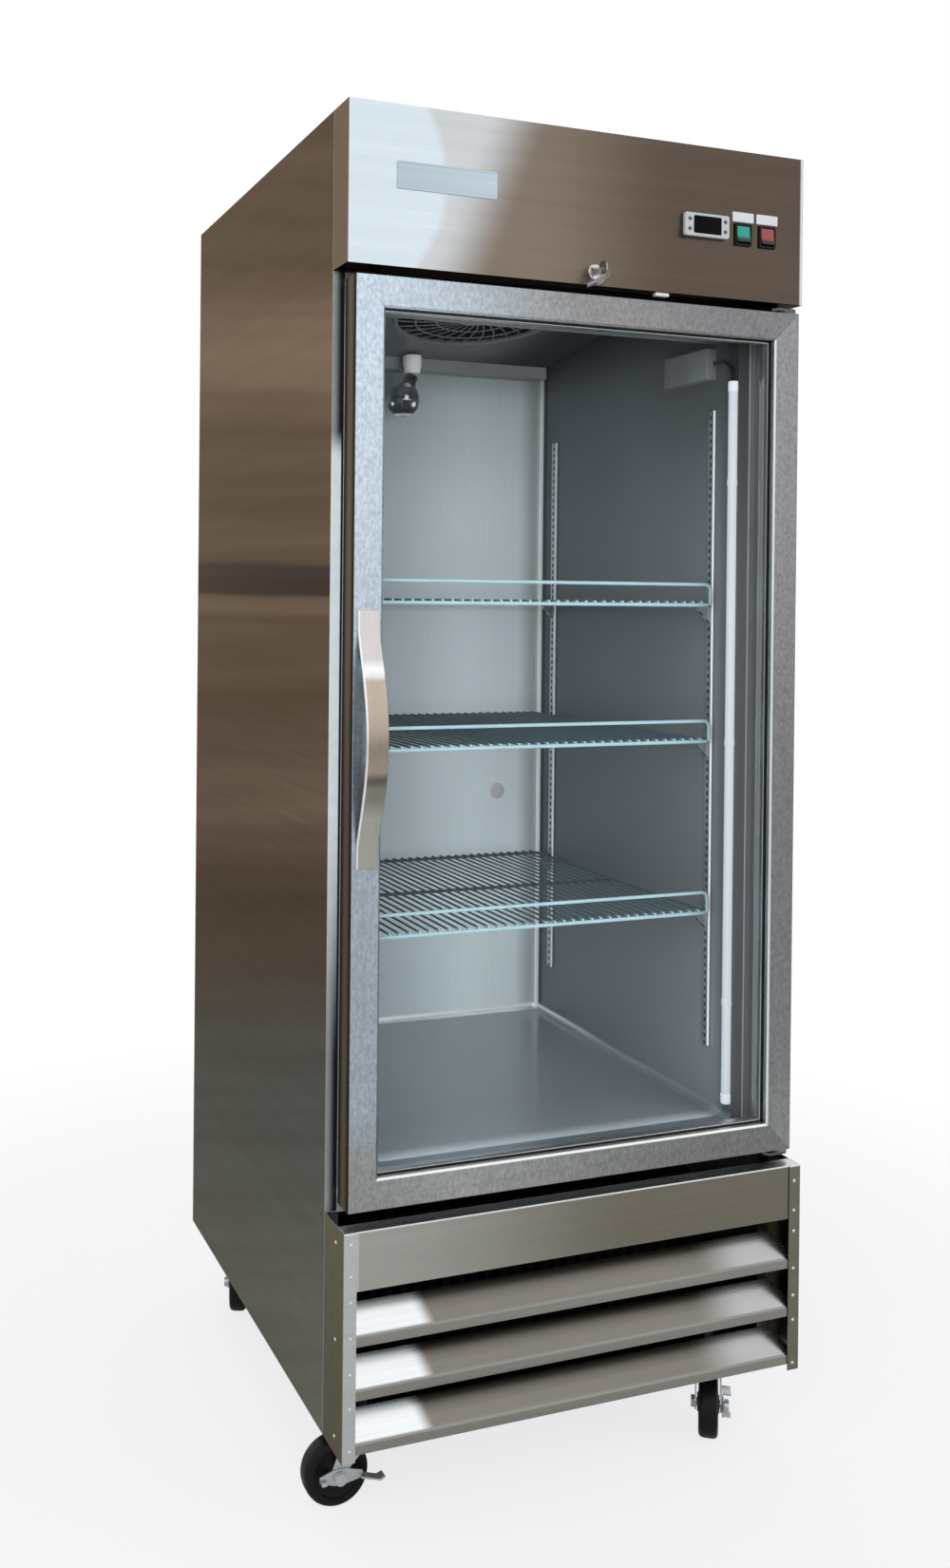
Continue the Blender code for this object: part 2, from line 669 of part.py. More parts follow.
def build_grille():
    """Folded grille in front of the machine compartment: two brackets, a top band and three louvers."""
    front = FACE_Y - GRILLE_REACH
    angle = 0.0015
    leg = 0.020
    for side, name in ((-1, "grille_left_bracket"), (1, "grille_right_bracket")):
        path = [(side * (HALF - leg), front), (side * HALF, front)]
        path += [(side * HALF, FACE_Y - GAP), (side * (HALF - leg), FACE_Y - GAP)]
        outline = sheet_outline(path if side > 0 else path[::-1], angle)
        prism(name, outline, "Z", CASTER_HEIGHT, GRILLE_TOP, "stainless")
    reach = HALF - angle - GAP
    sheet_y = front + angle + GAP
    band_bottom = GRILLE_TOP - BAND_HEIGHT
    path = [(sheet_y + BAND_FOLD, GRILLE_TOP), (sheet_y, GRILLE_TOP), (sheet_y, band_bottom)]
    path += [(sheet_y + 0.012, band_bottom)]
    prism("grille_top_band", sheet_outline(path, SHEET), "X", -reach, reach, "stainless")
    slope = LOUVER_SLOPE
    for number in range(3):
        bottom = CASTER_HEIGHT + 0.009 + (2 - number) * LOUVER_PITCH
        tip = bottom + LOUVER_LIP
        path = [(sheet_y + slope, tip + slope), (sheet_y, tip), (sheet_y, bottom), (sheet_y + 0.010, bottom)]
        outline = sheet_outline(path, SHEET)
        louver = prism("grille_louver_%d" % (number + 1), outline, "X", -reach, reach, "stainless")
        taper_ends(louver, sheet_y)


def taper_ends(piece, start_y):
    """Draw in the ends of a louver the more, the further a point lies behind its lip."""
    for point in piece.data.vertices:
        drawn = LOUVER_TAPER * max(0.0, point.co.y - start_y)
        point.co.x -= math.copysign(drawn, point.co.x)


def cover_z(y):
    """Height of the sloping evaporator cover at a depth y."""
    return TROUGH_Z + EVAPORATOR_SLOPE * (TROUGH_Y - y)


def build_evaporator():
    """Sloping evaporator cover with coil, fan, guard and the lamp under it."""
    reach = INNER_HALF - 0.012
    front = FACE_Y + EVAPORATOR_FRONT
    path = [(front, CEILING_Z - GAP), (front, cover_z(front)), (TROUGH_Y, TROUGH_Z)]
    path += [(TROUGH_Y, TROUGH_Z - 0.022), (INNER_BACK - GAP, TROUGH_Z - 0.022)]
    cover = prism("evaporator_cover", sheet_outline(path, SHEET), "X", -reach, reach, "grey_plastic")
    coil_back = TROUGH_Y - 0.004
    coil_front = coil_back - COIL_DEPTH
    fan_y = coil_front - FAN_GAP - EVAPORATOR_FAN
    hub = Vector((0.020, fan_y, cover_z(fan_y)))
    tilted = Matrix.Translation(hub) @ Matrix.Rotation(-math.atan(EVAPORATOR_SLOPE), 4, "X")
    hole_radius = EVAPORATOR_FAN + 0.010
    hole = prism("fan_hole", circle(hole_radius, 32), "Z", -0.03, 0.03)
    combine(cover, place(hole, tilted))
    build_guard(tilted, hole_radius)
    spot = tilted @ Matrix.Translation((0, 0, 0.0405))
    pivot(build_fan("evaporator_fan", EVAPORATOR_FAN, EVAPORATOR_HUB, spot), hub)
    teeth = 14
    coil_half = INNER_HALF - COIL_SIDE
    coil_low = TROUGH_Z + COIL_LIFT
    outline = [(-coil_half, CEILING_Z - GAP), (-coil_half, coil_low)]
    step = 2 * coil_half / (2 * teeth - 1)
    for i in range(2 * teeth - 2):
        x = -coil_half + (i + 1) * step
        levels = (coil_low, CEILING_Z - 0.030)
        outline.append((x, levels[i % 2]))
        outline.append((x, levels[(i + 1) % 2]))
    outline += [(coil_half, coil_low), (coil_half, CEILING_Z - GAP)]
    prism("evaporator_coil", outline, "Y", coil_front, coil_back, "aluminium")
    lamp_y = TROUGH_Y - LAMP_BACK
    build_lamp(Vector((-0.006, lamp_y, cover_z(lamp_y))))


def build_guard(tilted, hole_radius):
    """Round wire guard: flat rings on six spokes, with the fan motor at its middle."""
    bm = bmesh.new()
    radii = [hole_radius + 0.008 - i * 0.2 * EVAPORATOR_FAN for i in range(4)]
    sides = 20
    for radius in radii:
        rows = []
        for r, z in ((radius, -0.0033), (radius, -GAP), (radius - 0.004, -GAP), (radius - 0.004, -0.0033)):
            rows.append([bm.verts.new((x, y, z)) for x, y in circle(r, sides)])
        for one, two in zip(rows, rows[1:] + rows[:1]):
            for i in range(sides):
                j = (i + 1) % sides
                bm.faces.new((one[i], one[j], two[j], two[i]))
    guard = piece_from("evaporator_fan_guard", bm, "black_paint")
    place(guard, tilted)
    spokes = bmesh.new()
    for i in range(6):
        add_box(spokes, (SPOKE_START, -0.0022, -0.0052), (radii[0] - 0.001, 0.0022, -0.0028))
        turn = Matrix.Rotation(math.pi / 3, 4, "Z")
        bmesh.ops.transform(spokes, matrix=turn, verts=spokes.verts)
    spokes = piece_from("guard_spokes", spokes, "black_paint")
    join(guard, place(spokes, tilted))
    motor = prism("guard_motor", circle(MOTOR_RADIUS, 16), "Z", -0.0070, 0.036)
    join(guard, place(motor, tilted))
    shaft = prism("guard_shaft", circle(0.004, 8), "Z", SHAFT_FOOT, SHAFT_HEAD)
    join(guard, place(shaft, tilted))


def build_fan(name, radius, hub_radius, spot, blades=5):
    """Axial fan put at a spot: a bored hub with pitched blades, standing on z = 0 of its own frame."""
    profile = [(0.0043, 0.0), (hub_radius, 0.0), (hub_radius, 0.016), (hub_radius - 0.006, 0.020)]
    profile += [(0.0043, 0.020)]
    fan = turned(name, profile, 16, "black_plastic", closed=True)
    bm = bmesh.new()
    inner = hub_radius - 0.006
    for blade in range(blades):
        turn = Matrix.Rotation(2 * math.pi * blade / blades, 4, "Z")
        rows = []
        for r, half, low, high in ((inner, 0.014, 0.002, 0.014), (radius, 0.040, 0.003, 0.016)):
            spread = math.asin(min(0.95, half / r))
            for thick in (0.0, 0.002):
                for way, z in ((-1, low), (1, high)):
                    angle = way * spread
                    point = Vector((r * math.cos(angle), r * math.sin(angle), z + thick))
                    rows.append(bm.verts.new(turn @ point))
        faces = ((0, 1, 3, 2), (4, 6, 7, 5), (0, 4, 5, 1), (2, 3, 7, 6), (0, 2, 6, 4), (1, 5, 7, 3))
        for face in faces:
            bm.faces.new([rows[i] for i in face])
    tool = piece_from(name + "_blades", bm, "black_plastic")
    return join(place(fan, spot), place(tool, spot))


def build_lamp(point):
    """Lampholder under the evaporator cover and its clear bulb, leaning to the left."""
    radius = 0.018
    neck = 0.012
    lean = math.radians(21)
    top = point.z - radius * EVAPORATOR_SLOPE - GAP
    profile = [(0, 0), (radius, 0), (radius, -0.022), (0.016, -0.026), (0.016, -0.034), (0, -0.034)]
    holder = turned("lampholder", profile, 12, "white_plastic")
    place(holder, Matrix.Translation((point.x, point.y, top)))
    bulb_profile = [(0, 0), (neck, 0), (0.013, 0.010), (0.024, 0.026), (0.031, 0.042), (0.032, 0.052)]
    bulb_profile += [(0.027, 0.068), (0.015, 0.079), (0, 0.082)]
    bulb = turned("lamp_bulb", bulb_profile, 14, "glass")
    start = top - 0.034 - neck * math.sin(lean) - GAP
    place(bulb, Matrix.Translation((point.x, point.y, start)) @ Matrix.Rotation(math.pi + lean, 4, "Y"))


def build_led():
    """LED strip lamp on the right front jamb, and its driver box with the short lead."""
    half = LED_WIDTH / 2
    y = FACE_Y + 0.002 + half
    back = INNER_HALF - GAP
    flat = back - LED_FLAT
    low_z = FLOOR_Z + 0.023
    high_z = LINTEL_Z - 0.065
    outline = [(back, y - half), (back, y + half), (flat, y + half)]
    for i in range(1, 5):
        turn = math.pi / 2 + math.pi * i / 5
        outline.append((flat + half * math.cos(turn), y + half * math.sin(turn)))
    outline.append((flat, y - half))
    prism("led_lamp", outline, "Z", low_z, high_z, "white_plastic")
    box_low = (back - 0.020, FACE_Y + 0.060, LINTEL_Z - 0.055)
    box_high = (back, FACE_Y + 0.180, LINTEL_Z - 0.006)
    driver = box("led_driver", box_low, box_high, "black_plastic")
    x = back - LED_FLAT
    top = high_z + GAP
    route = [(x, FACE_Y + 0.070, top + 0.035), (x, FACE_Y + 0.036, top + 0.036)]
    route += [(x, FACE_Y + 0.020, top + 0.028), (x, y, top + 0.014), (x, y, top)]
    join(driver, tubes("led_lead", [route], 0.003))


def tubes(name, routes, radius, sides=8):
    """Round tubes swept along routes of points, closed at both ends, as one object."""
    curve = bpy.data.curves.new(name, "CURVE")
    curve.dimensions = "3D"
    curve.bevel_depth = radius
    curve.bevel_resolution = sides // 2 - 2
    curve.use_fill_caps = True
    for route in routes:
        spline = curve.splines.new("POLY")
        spline.points.add(len(route) - 1)
        for point, co in zip(spline.points, route):
            point.co = (*co, 1.0)
    guide = bpy.data.objects.new(name + "_route", curve)
    mesh = bpy.data.meshes.new_from_object(guide)
    bpy.data.objects.remove(guide)
    bm = bmesh.new()
    bm.from_mesh(mesh)
    return piece_from(name, bm, "black_plastic")


def build_standards():
    """Four hat-section shelf standards, each with the hook-in clips that carry the shelves."""
    low_z = FLOOR_Z + STANDARD_FOOT
    high_z = LINTEL_Z - STANDARD_HEAD
    for side, side_name in ((-1, "left"), (1, "right")):
        wall = side * (INNER_HALF - GAP)
        face = side * (INNER_HALF - GAP - STANDARD_DEPTH)
        skin = side * 0.0012
        for y, row in ((FACE_Y + STANDARD_FRONT, "front"), (INNER_BACK - STANDARD_BACK, "rear")):
            half = STANDARD_WIDTH / 2
            outline = [(wall, y - half), (face, y - half), (face, y + half), (wall, y + half)]
            outline += [(wall, y + half - 0.0012), (face + skin, y + half - 0.0012)]
            outline += [(face + skin, y - half + 0.0012), (wall, y - half + 0.0012)]
            name = "%s_%s_standard" % (side_name, row)
            standard = prism(name, outline, "Z", low_z, high_z, "galvanised")
            for number, level in enumerate(SHELF_LEVELS):
                top = level - GAP
                root = face + skin * 0.5
                tip = face - side * CLIP_REACH
                clip = [(root, top), (tip, top), (tip, top - 0.004), (root, top - CLIP_HEIGHT)]
                tool = prism("%s_clip_%d" % (name, number), clip, "Y", y - 0.004, y + 0.004)
                join(standard, tool)


def build_shelves():
    """Three wire shelves: a frame with a middle bar, wires lying on it, and a raised front rail."""
    half = INNER_HALF - SHELF_SIDE_GAP
    front = FACE_Y + SHELF_FRONT
    back = INNER_BACK - SHELF_BACK_GAP
    bar = FRAME_WIRE
    middle = (front + back) / 2
    xs = [-half, -half + bar, half - bar, half]
    ys = [front, front + bar, middle - bar / 2, middle + bar / 2, back - bar, back]
    for number, level in enumerate(SHELF_LEVELS):
        name = "shelf_%d" % (number + 1)
        bm = bmesh.new()
        points = [[bm.verts.new((x, y, level)) for x in xs] for y in ys]
        faces = []
        for row in range(len(ys) - 1):
            for column in range(len(xs) - 1):
                if row % 2 == 0 or column != 1:
                    corners = (points[row][column], points[row][column + 1])
                    corners += (points[row + 1][column + 1], points[row + 1][column])
                    faces.append(bm.faces.new(corners))
        made = bmesh.ops.extrude_face_region(bm, geom=faces)["geom"]
        moved = [item for item in made if isinstance(item, bmesh.types.BMVert)]
        bmesh.ops.translate(bm, verts=moved, vec=(0, 0, bar))
        shelf = piece_from(name, bm, "coated_wire")
        wires = bmesh.new()
        low = level + bar - 0.0012
        pitch = (2 * half - 2 * bar) / (SHELF_WIRES + 1)
        for wire in range(SHELF_WIRES):
            x = -half + bar + (wire + 1) * pitch
            add_box(wires, (x - WIRE / 2, front + 0.0015, low), (x + WIRE / 2, back - 0.0015, low + WIRE))
        join(shelf, piece_from(name + "_wires", wires, "coated_wire"))
        rail_top = level + bar + SHELF_LIP
        rail = [(-half + 0.001, level + bar - 0.001)]
        rail += arc_corner(-half + 0.001, rail_top, 0.012, -1)
        rail += arc_corner(half - 0.001, rail_top, 0.012, 1)
        rail += [(half - 0.001, level + bar - 0.001)]
        inner = 0.001 + 0.005
        rail += [(half - inner, level + bar - 0.001)]
        rail += arc_corner(half - inner, rail_top - 0.005, 0.007, 1)[::-1]
        rail += arc_corner(-half + inner, rail_top - 0.005, 0.007, -1)[::-1]
        rail += [(-half + inner, level + bar - 0.001)]
        lip = prism(name + "_lip", rail, "Y", front + 0.0005, front + 0.0055, "coated_wire")
        join(shelf, lip)
        pivot(shelf, (0, middle, level))


def arc_corner(x, z, radius, side):
    """Points round the top corner of a rail, from left to right."""
    centre = (x - side * radius, z - radius)
    start = math.pi if side < 0 else math.pi / 2
    points = []
    for i in range(4):
        turn = start - math.pi / 2 * i / 3
        points.append((centre[0] + radius * math.cos(turn), centre[1] + radius * math.sin(turn)))
    return points


def build_machine():
    """Base plate with the cooling machine: compressor, condenser, fan motor and fan."""
    half = HALF - SHEET - GAP
    front = FACE_Y + SHEET + GAP
    back = BACK_Y - SHEET - GAP
    high = (half, back, CASTER_HEIGHT + BASE_RIM)
    base = box("base_plate", (-half, front, CASTER_HEIGHT), high, "galvanised")
    low = (-half + SHEET, front + SHEET, CASTER_HEIGHT + 2 * SHEET)
    combine(base, box("base_hollow", low, (half - SHEET, back - SHEET, CASTER_HEIGHT + 4 * BASE_RIM)))
    for number, (x, y) in enumerate(caster_places()):
        outline = circle(STEM_RADIUS + PIN_GAP, 16, (x, y))
        hole = prism("stem_hole_%d" % number, outline, "Z", CASTER_HEIGHT - 0.02, CASTER_HEIGHT + 0.02)
        combine(base, hole)
    build_compressor()
    build_condenser()


def build_compressor():
    """Domed compressor shell on its foot plate, with the bent suction stub."""
    x = HALF - COMPRESSOR_SIDE
    y = BACK_Y - COMPRESSOR_BACK
    dome = [(0, 0.09), (0.76, 0.09), (0.96, 0.21), (1, 0.46), (0.96, 0.69), (0.74, 0.87)]
    dome += [(0.38, 0.97), (0, 1)]
    profile = [(r * COMPRESSOR_RADIUS, z * COMPRESSOR_HEIGHT) for r, z in dome]
    compressor = turned("compressor", profile, 18, "black_paint")
    place(compressor, Matrix.Translation((x, y, DECK_Z)))
    foot_x = 1.2 * COMPRESSOR_RADIUS
    foot_y = 0.76 * COMPRESSOR_RADIUS
    low = (x - foot_x, y - foot_y, DECK_Z)
    high = (x + foot_x, y + foot_y, DECK_Z + 0.11 * COMPRESSOR_HEIGHT)
    join(compressor, box("compressor_feet", low, high))
    side_x = x - 1.4 * COMPRESSOR_RADIUS
    stub_z = DECK_Z + 0.76 * COMPRESSOR_HEIGHT
    stub = [(x - 0.5 * COMPRESSOR_RADIUS, y, stub_z), (side_x, y, stub_z), (side_x, y, stub_z + 0.07)]
    join(compressor, tubes("compressor_stub", [stub], 0.006))


def build_condenser():
    """Finned condenser behind the grille, with its fan and the motor on a bracket."""
    front = FACE_Y + CONDENSER_FRONT
    back = front + CONDENSER_DEPTH
    low_x = -HALF + CONDENSER_LEFT
    high_x = HALF - CONDENSER_RIGHT
    top = BOX_BOTTOM - 0.040
    teeth = 24
    outline = [(low_x, back), (low_x, front)]
    step = (high_x - low_x) / (2 * teeth - 1)
    for i in range(2 * teeth - 2):
        x = low_x + (i + 1) * step
        levels = (front, front + 0.55 * CONDENSER_DEPTH)
        outline.append((x, levels[i % 2]))
        outline.append((x, levels[(i + 1) % 2]))
    outline += [(high_x, front), (high_x, back)]
    coil = prism("condenser_coil", outline, "Z", DECK_Z, top, "black_paint")
    bends = []
    for number in range(4):
        low_z = DECK_Z + 0.030 + number * 0.060
        mid_y = front + 0.784 * CONDENSER_DEPTH
        side = [(-0.004, 0.0), (0.018, 0.0), (0.026, 0.008), (0.026, 0.022), (0.018, 0.030), (-0.004, 0.030)]
        bends.append([(high_x + dx, mid_y, low_z + dz) for dx, dz in side])
    join(coil, tubes("condenser_bends", bends, 0.005, 6))
    x = (low_x + high_x) / 2
    z = (DECK_Z + top) / 2
    motor_y = back + MOTOR_GAP
    point = Vector((x, motor_y, z))
    drum = [(0, 0), (MOTOR_RADIUS, 0), (MOTOR_RADIUS, MOTOR_LENGTH), (0, MOTOR_LENGTH)]
    motor = turned("condenser_motor", drum, 14, "black_paint")
    place(motor, along_y(point))
    join(motor, box("motor_post", (x - 0.025, motor_y + 0.02, DECK_Z), (x + 0.025, motor_y + 0.024, z)))
    low = (x - 0.025, motor_y, DECK_Z)
    join(motor, box("motor_foot", low, (x + 0.025, motor_y + 0.06, DECK_Z + 0.003)))
    shaft = prism("motor_shaft", circle(0.004, 8), "Z", -0.030, 0.010)
    join(motor, place(shaft, along_y(point)))
    spot = along_y(point + Vector((0, -0.024, 0)))
    pivot(build_fan("condenser_fan", CONDENSER_FAN, CONDENSER_HUB, spot), point)


def caster_places():
    """Swivel axes: front left, front right, rear left, rear right."""
    x = HALF - CASTER_INSET
    front = FACE_Y + CASTER_FRONT
    rear = BACK_Y - CASTER_REAR
    return [(-x, front), (x, front), (-x, rear), (x, rear)]


def build_casters():
    """Four swivel casters, the front two with a rocking brake lever on the axle."""
    names = ("front_left", "front_right", "rear_left", "rear_right")
    headings = (0.0, 55.6, 69.4, 180.0)
    for name, heading, (x, y) in zip(names, headings, caster_places()):
        turn = Matrix.Translation((x, y, 0)) @ Matrix.Rotation(math.radians(heading), 4, "Z")
        build_caster(name, turn, name.startswith("front"))


def build_caster(name, turn, braked):
    """Caster in its own frame: swivel axis on Z, the wheel trailing towards -X, the axle along Y."""
    axle = turn @ Vector((-CASTER_TRAIL, 0, AXLE_Z))
    crown = CASTER_HEIGHT - 0.012
    inner = HUB_WIDTH / 2 + 0.001
    outer = inner + FORK_PLATE
    side = [(0.024, crown), (-0.030, crown), (-CASTER_TRAIL - 0.011, AXLE_Z + 0.006)]
    side += [(-CASTER_TRAIL - 0.008, AXLE_Z - 0.009), (-CASTER_TRAIL + 0.008, AXLE_Z - 0.009)]
    side += [(-CASTER_TRAIL + 0.014, AXLE_Z + 0.006), (0.010, crown - 0.022)]
    fork = prism(name + "_fork", side, "Y", -outer, outer, "zinc")
    low = (-0.2, -inner, -0.05)
    combine(fork, place(box(name + "_fork_gap", low, (0.2, inner, crown - FORK_PLATE)), turn))
    place(fork, turn)
    neck = [(0, crown - 0.001), (0.027, crown - 0.001), (0.029, crown + 0.005), (0.025, CASTER_HEIGHT - GAP)]
    neck += [(STEM_RADIUS, CASTER_HEIGHT - GAP), (STEM_RADIUS, CASTER_HEIGHT + 0.014)]
    neck += [(0, CASTER_HEIGHT + 0.014)]
    join(fork, place(turned(name + "_neck", neck, 16), turn))
    seat = -outer - 0.004 - GAP if braked else -outer + 0.0005
    head = seat - 0.0068
    bolt = [(0, head), (0.009, head), (0.009, seat), (AXLE_RADIUS, seat)]
    bolt += [(AXLE_RADIUS, outer - 0.0005), (0.009, outer - 0.0005), (0.009, outer + 0.006)]
    bolt += [(0, outer + 0.006)]
    across = turn @ along_y((-CASTER_TRAIL, 0, AXLE_Z))
    join(fork, place(turned(name + "_bolt", bolt, 12), across))
    pivot(fork, turn @ Vector((0, 0, CASTER_HEIGHT)))
    half = HUB_WIDTH / 2
    bore = AXLE_RADIUS + PIN_GAP
    rim = [(bore, half), (0.28 * WHEEL_RADIUS, half), (0.36 * WHEEL_RADIUS, half - 0.005)]
    rim += [(0.72 * WHEEL_RADIUS, half - 0.002), (WHEEL_RADIUS, half - 0.005)]
    profile = [(r, -h) for r, h in rim] + rim[::-1]
    wheel = turned(name + "_wheel", profile, WHEEL_FACETS, "rubber", closed=True)
    place(wheel, across)
    pivot(wheel, axle)
    if braked:
        build_brake(name, turn, axle, outer)


def build_brake(name, turn, axle, outer):
    """Brake lever that rocks on the axle, outside the fork: a plate with a foot tongue and a small heel."""
    x = -CASTER_TRAIL
    plate = [(x - 0.030, AXLE_Z + 0.004), (x - 0.030, AXLE_Z - 0.004), (x - 0.008, AXLE_Z - 0.011)]
    plate += [(x + 0.010, AXLE_Z - 0.011), (x + 0.036, AXLE_Z - 0.006), (x + 0.036, AXLE_Z + 0.004)]
    plate += [(x + 0.010, AXLE_Z + 0.011), (x - 0.010, AXLE_Z + 0.011)]
    near = -outer - GAP
    far = near - 0.003
    lever = prism(name + "_brake", plate, "Y", far, near, "zinc")
    place(lever, turn)
    tongue = [(x + 0.030, AXLE_Z + 0.002), (x + 0.030, AXLE_Z - 0.001), (x + 0.060, AXLE_Z - 0.010)]
    tongue += [(x + 0.068, AXLE_Z - 0.006), (x + 0.066, AXLE_Z - 0.004), (x + 0.058, AXLE_Z - 0.007)]
    join(lever, place(prism(name + "_tongue", tongue, "Y", far - 0.012, near), turn))
    low = (x - 0.030, far - 0.010, AXLE_Z - 0.003)
    high = (x - 0.022, far + 0.001, AXLE_Z + 0.003)
    join(lever, place(box(name + "_heel", low, high), turn))
    hole = circle(AXLE_RADIUS + PIN_GAP, 12, (x, AXLE_Z))
    combine(lever, place(prism(name + "_brake_hole", hole, "Y", far - 0.05, near + 0.05), turn))
    pivot(lever, axle)


def main():
    for item in list(bpy.data.objects):
        bpy.data.objects.remove(item)
    make_finishes()
    build_shell()
    build_box()
    build_header()
    build_evaporator()
    build_led()
    build_standards()
    build_shelves()
    build_machine()
    build_grille()
    build_hinges()
    build_door()
    build_casters()


main()
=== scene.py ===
# %% [markdown]
# # A reach-in refrigerator, dressed
# The solid model gives every piece its place and its joint. This lesson dresses it: finishes for the
# sheet steel, glass, rubber and plastic, and the small rounded pieces that flat facets can't show. The
# solid model could be painted as it is, but bent wire, tyres and rolled edges catch the light, so those
# are modelled anew.

# %% Load the solid model
import json
import math

import bmesh
import bpy
from mathutils import Matrix, Vector


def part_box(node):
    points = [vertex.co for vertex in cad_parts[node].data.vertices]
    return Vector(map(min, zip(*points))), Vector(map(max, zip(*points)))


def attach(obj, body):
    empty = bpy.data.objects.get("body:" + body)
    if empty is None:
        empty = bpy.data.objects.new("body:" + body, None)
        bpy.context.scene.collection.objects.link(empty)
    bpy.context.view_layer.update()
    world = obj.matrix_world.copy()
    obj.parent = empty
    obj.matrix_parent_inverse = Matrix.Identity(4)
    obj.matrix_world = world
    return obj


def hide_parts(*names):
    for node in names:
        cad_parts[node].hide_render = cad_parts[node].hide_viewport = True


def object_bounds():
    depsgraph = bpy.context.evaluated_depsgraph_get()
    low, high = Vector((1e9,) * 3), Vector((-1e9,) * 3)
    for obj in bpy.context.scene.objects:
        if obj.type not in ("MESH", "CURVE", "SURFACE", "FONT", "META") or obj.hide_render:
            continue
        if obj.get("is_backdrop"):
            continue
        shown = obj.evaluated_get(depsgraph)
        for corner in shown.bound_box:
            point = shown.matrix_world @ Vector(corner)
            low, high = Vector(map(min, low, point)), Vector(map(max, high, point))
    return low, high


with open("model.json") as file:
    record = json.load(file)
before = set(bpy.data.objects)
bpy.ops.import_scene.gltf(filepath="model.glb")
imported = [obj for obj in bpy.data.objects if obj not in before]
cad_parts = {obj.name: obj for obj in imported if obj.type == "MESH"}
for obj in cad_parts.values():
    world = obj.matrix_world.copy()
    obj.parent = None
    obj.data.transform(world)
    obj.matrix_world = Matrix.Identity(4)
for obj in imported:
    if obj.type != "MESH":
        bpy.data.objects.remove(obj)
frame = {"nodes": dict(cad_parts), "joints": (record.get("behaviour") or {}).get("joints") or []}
nodes = frame["nodes"]
joints = {joint["name"]: joint for joint in frame["joints"]}
solid_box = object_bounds()
print(len(nodes), "solid pieces and", len(joints), "joints are loaded")

# %% [markdown]
# ## Where things are
# New pieces must meet the solid ones. Their places could be typed in, but reading them from the boxes of
# the solid pieces keeps the two together when a size changes.

# %% Places read from the solid model
LINER_SHEET, STANDARD_GAP, STANDARD_FOOT = 0.0012, 0.0003, 0.100
head_low, head_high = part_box("header_panel")
stile_low, stile_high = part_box("door_right_stile")
pane_low, pane_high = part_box("outer_pane")
back_pane_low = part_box("inner_pane")[0]
HALF = head_high.x
HEAD_FOOT = head_low.z
HEAD_FRONT = head_low.y
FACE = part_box("left_side_panel")[0].y
GRILLE_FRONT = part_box("grille_left_bracket")[0].y
GRILLE_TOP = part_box("grille_top_band")[1].z
DOOR_HALF = stile_high.x
DOOR_MIDDLE = (stile_low.y + stile_high.y) / 2
STILE_EDGE = stile_low.x
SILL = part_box("door_bottom_rail")[1].z
GRIP_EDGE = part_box("door_handle")[0].x
INNER_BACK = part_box("inner_liner")[1].y - LINER_SHEET
INNER_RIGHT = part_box("right_front_standard")[1].x + STANDARD_GAP
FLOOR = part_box("left_front_standard")[0].z - STANDARD_FOOT
COVER_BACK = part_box("evaporator_cover")[1].y
print("cabinet face at y =", round(FACE, 4), "and inner rear wall at y =", round(INNER_BACK, 4))

# %% [markdown]
# ## Shader maths as plain sums
# A finish is a network of nodes. Placing each Math node by hand is slow to read, so one small class wraps
# an output socket, and sums and products of such sockets add the nodes by themselves.


# %% A socket to calculate with
class Wire:
    """One output socket of a finish. Arithmetic on wires adds Math nodes."""

    def __init__(self, tree, socket=None):
        self.tree = tree
        self.socket = socket

    def node(self, kind, settings=None, inputs=None, out=0):
        """Add any node: its settings first, then the values or wires of its sockets."""
        made = self.tree.nodes.new(kind)
        for key, value in (settings or {}).items():
            setattr(made, key, value)
        for key, value in (inputs or {}).items():
            if isinstance(value, Wire):
                self.tree.links.new(value.socket, made.inputs[key])
            else:
                made.inputs[key].default_value = value
        return Wire(self.tree, made.outputs[out])

    def math(self, operation, one, two=0.0):
        return self.node("ShaderNodeMath", {"operation": operation}, {0: one, 1: two})

    def __add__(self, other):
        return self.math("ADD", self, other)

    def __radd__(self, other):
        return self.math("ADD", other, self)

    def __sub__(self, other):
        return self.math("SUBTRACT", self, other)

    def __rsub__(self, other):
        return self.math("SUBTRACT", other, self)

    def __mul__(self, other):
        return self.math("MULTIPLY", self, other)

    def __rmul__(self, other):
        return self.math("MULTIPLY", other, self)


def smooth(value, low, high):
    """0 below low, 1 above high, and a soft step between them."""
    settings = {"interpolation_type": "SMOOTHSTEP"}
    return value.node("ShaderNodeMapRange", settings, {"Value": value, "From Min": low, "From Max": high})


def between(value, rise, fall):
    """1 between two soft steps: one up, over the pair rise, and one down, over the pair fall."""
    return smooth(value, *rise) * (1.0 - smooth(value, *fall))


def absolute(value):
    """A value without its sign."""
    return value.math("ABSOLUTE", value)


def band(value, centre, width):
    """1 at a centre, falling softly to 0 on both sides."""
    return 1.0 - smooth(absolute(value - centre), 0.0, width)


def mix(factor, one, two):
    """A colour between two: one where the factor is 0, two where it is 1."""
    return factor.node("ShaderNodeMix", {"data_type": "RGBA"}, {0: factor, 6: one, 7: two}, out=2)


def scaled(colour, factor):
    """A colour made lighter or darker by a factor."""
    return colour.node("ShaderNodeVectorMath", {"operation": "SCALE"}, {0: colour, 3: factor})


def noise(place, stretch, detail=2.0):
    """Soft noise on coordinates that are stretched along each axis."""
    mapped = place.node("ShaderNodeMapping", inputs={"Vector": place, "Scale": stretch})
    return place.node("ShaderNodeTexNoise", inputs={"Vector": mapped, "Scale": 1.0, "Detail": detail})


def rgb(red, green, blue):
    return (red, green, blue, 1.0)


print("shader maths is ready")


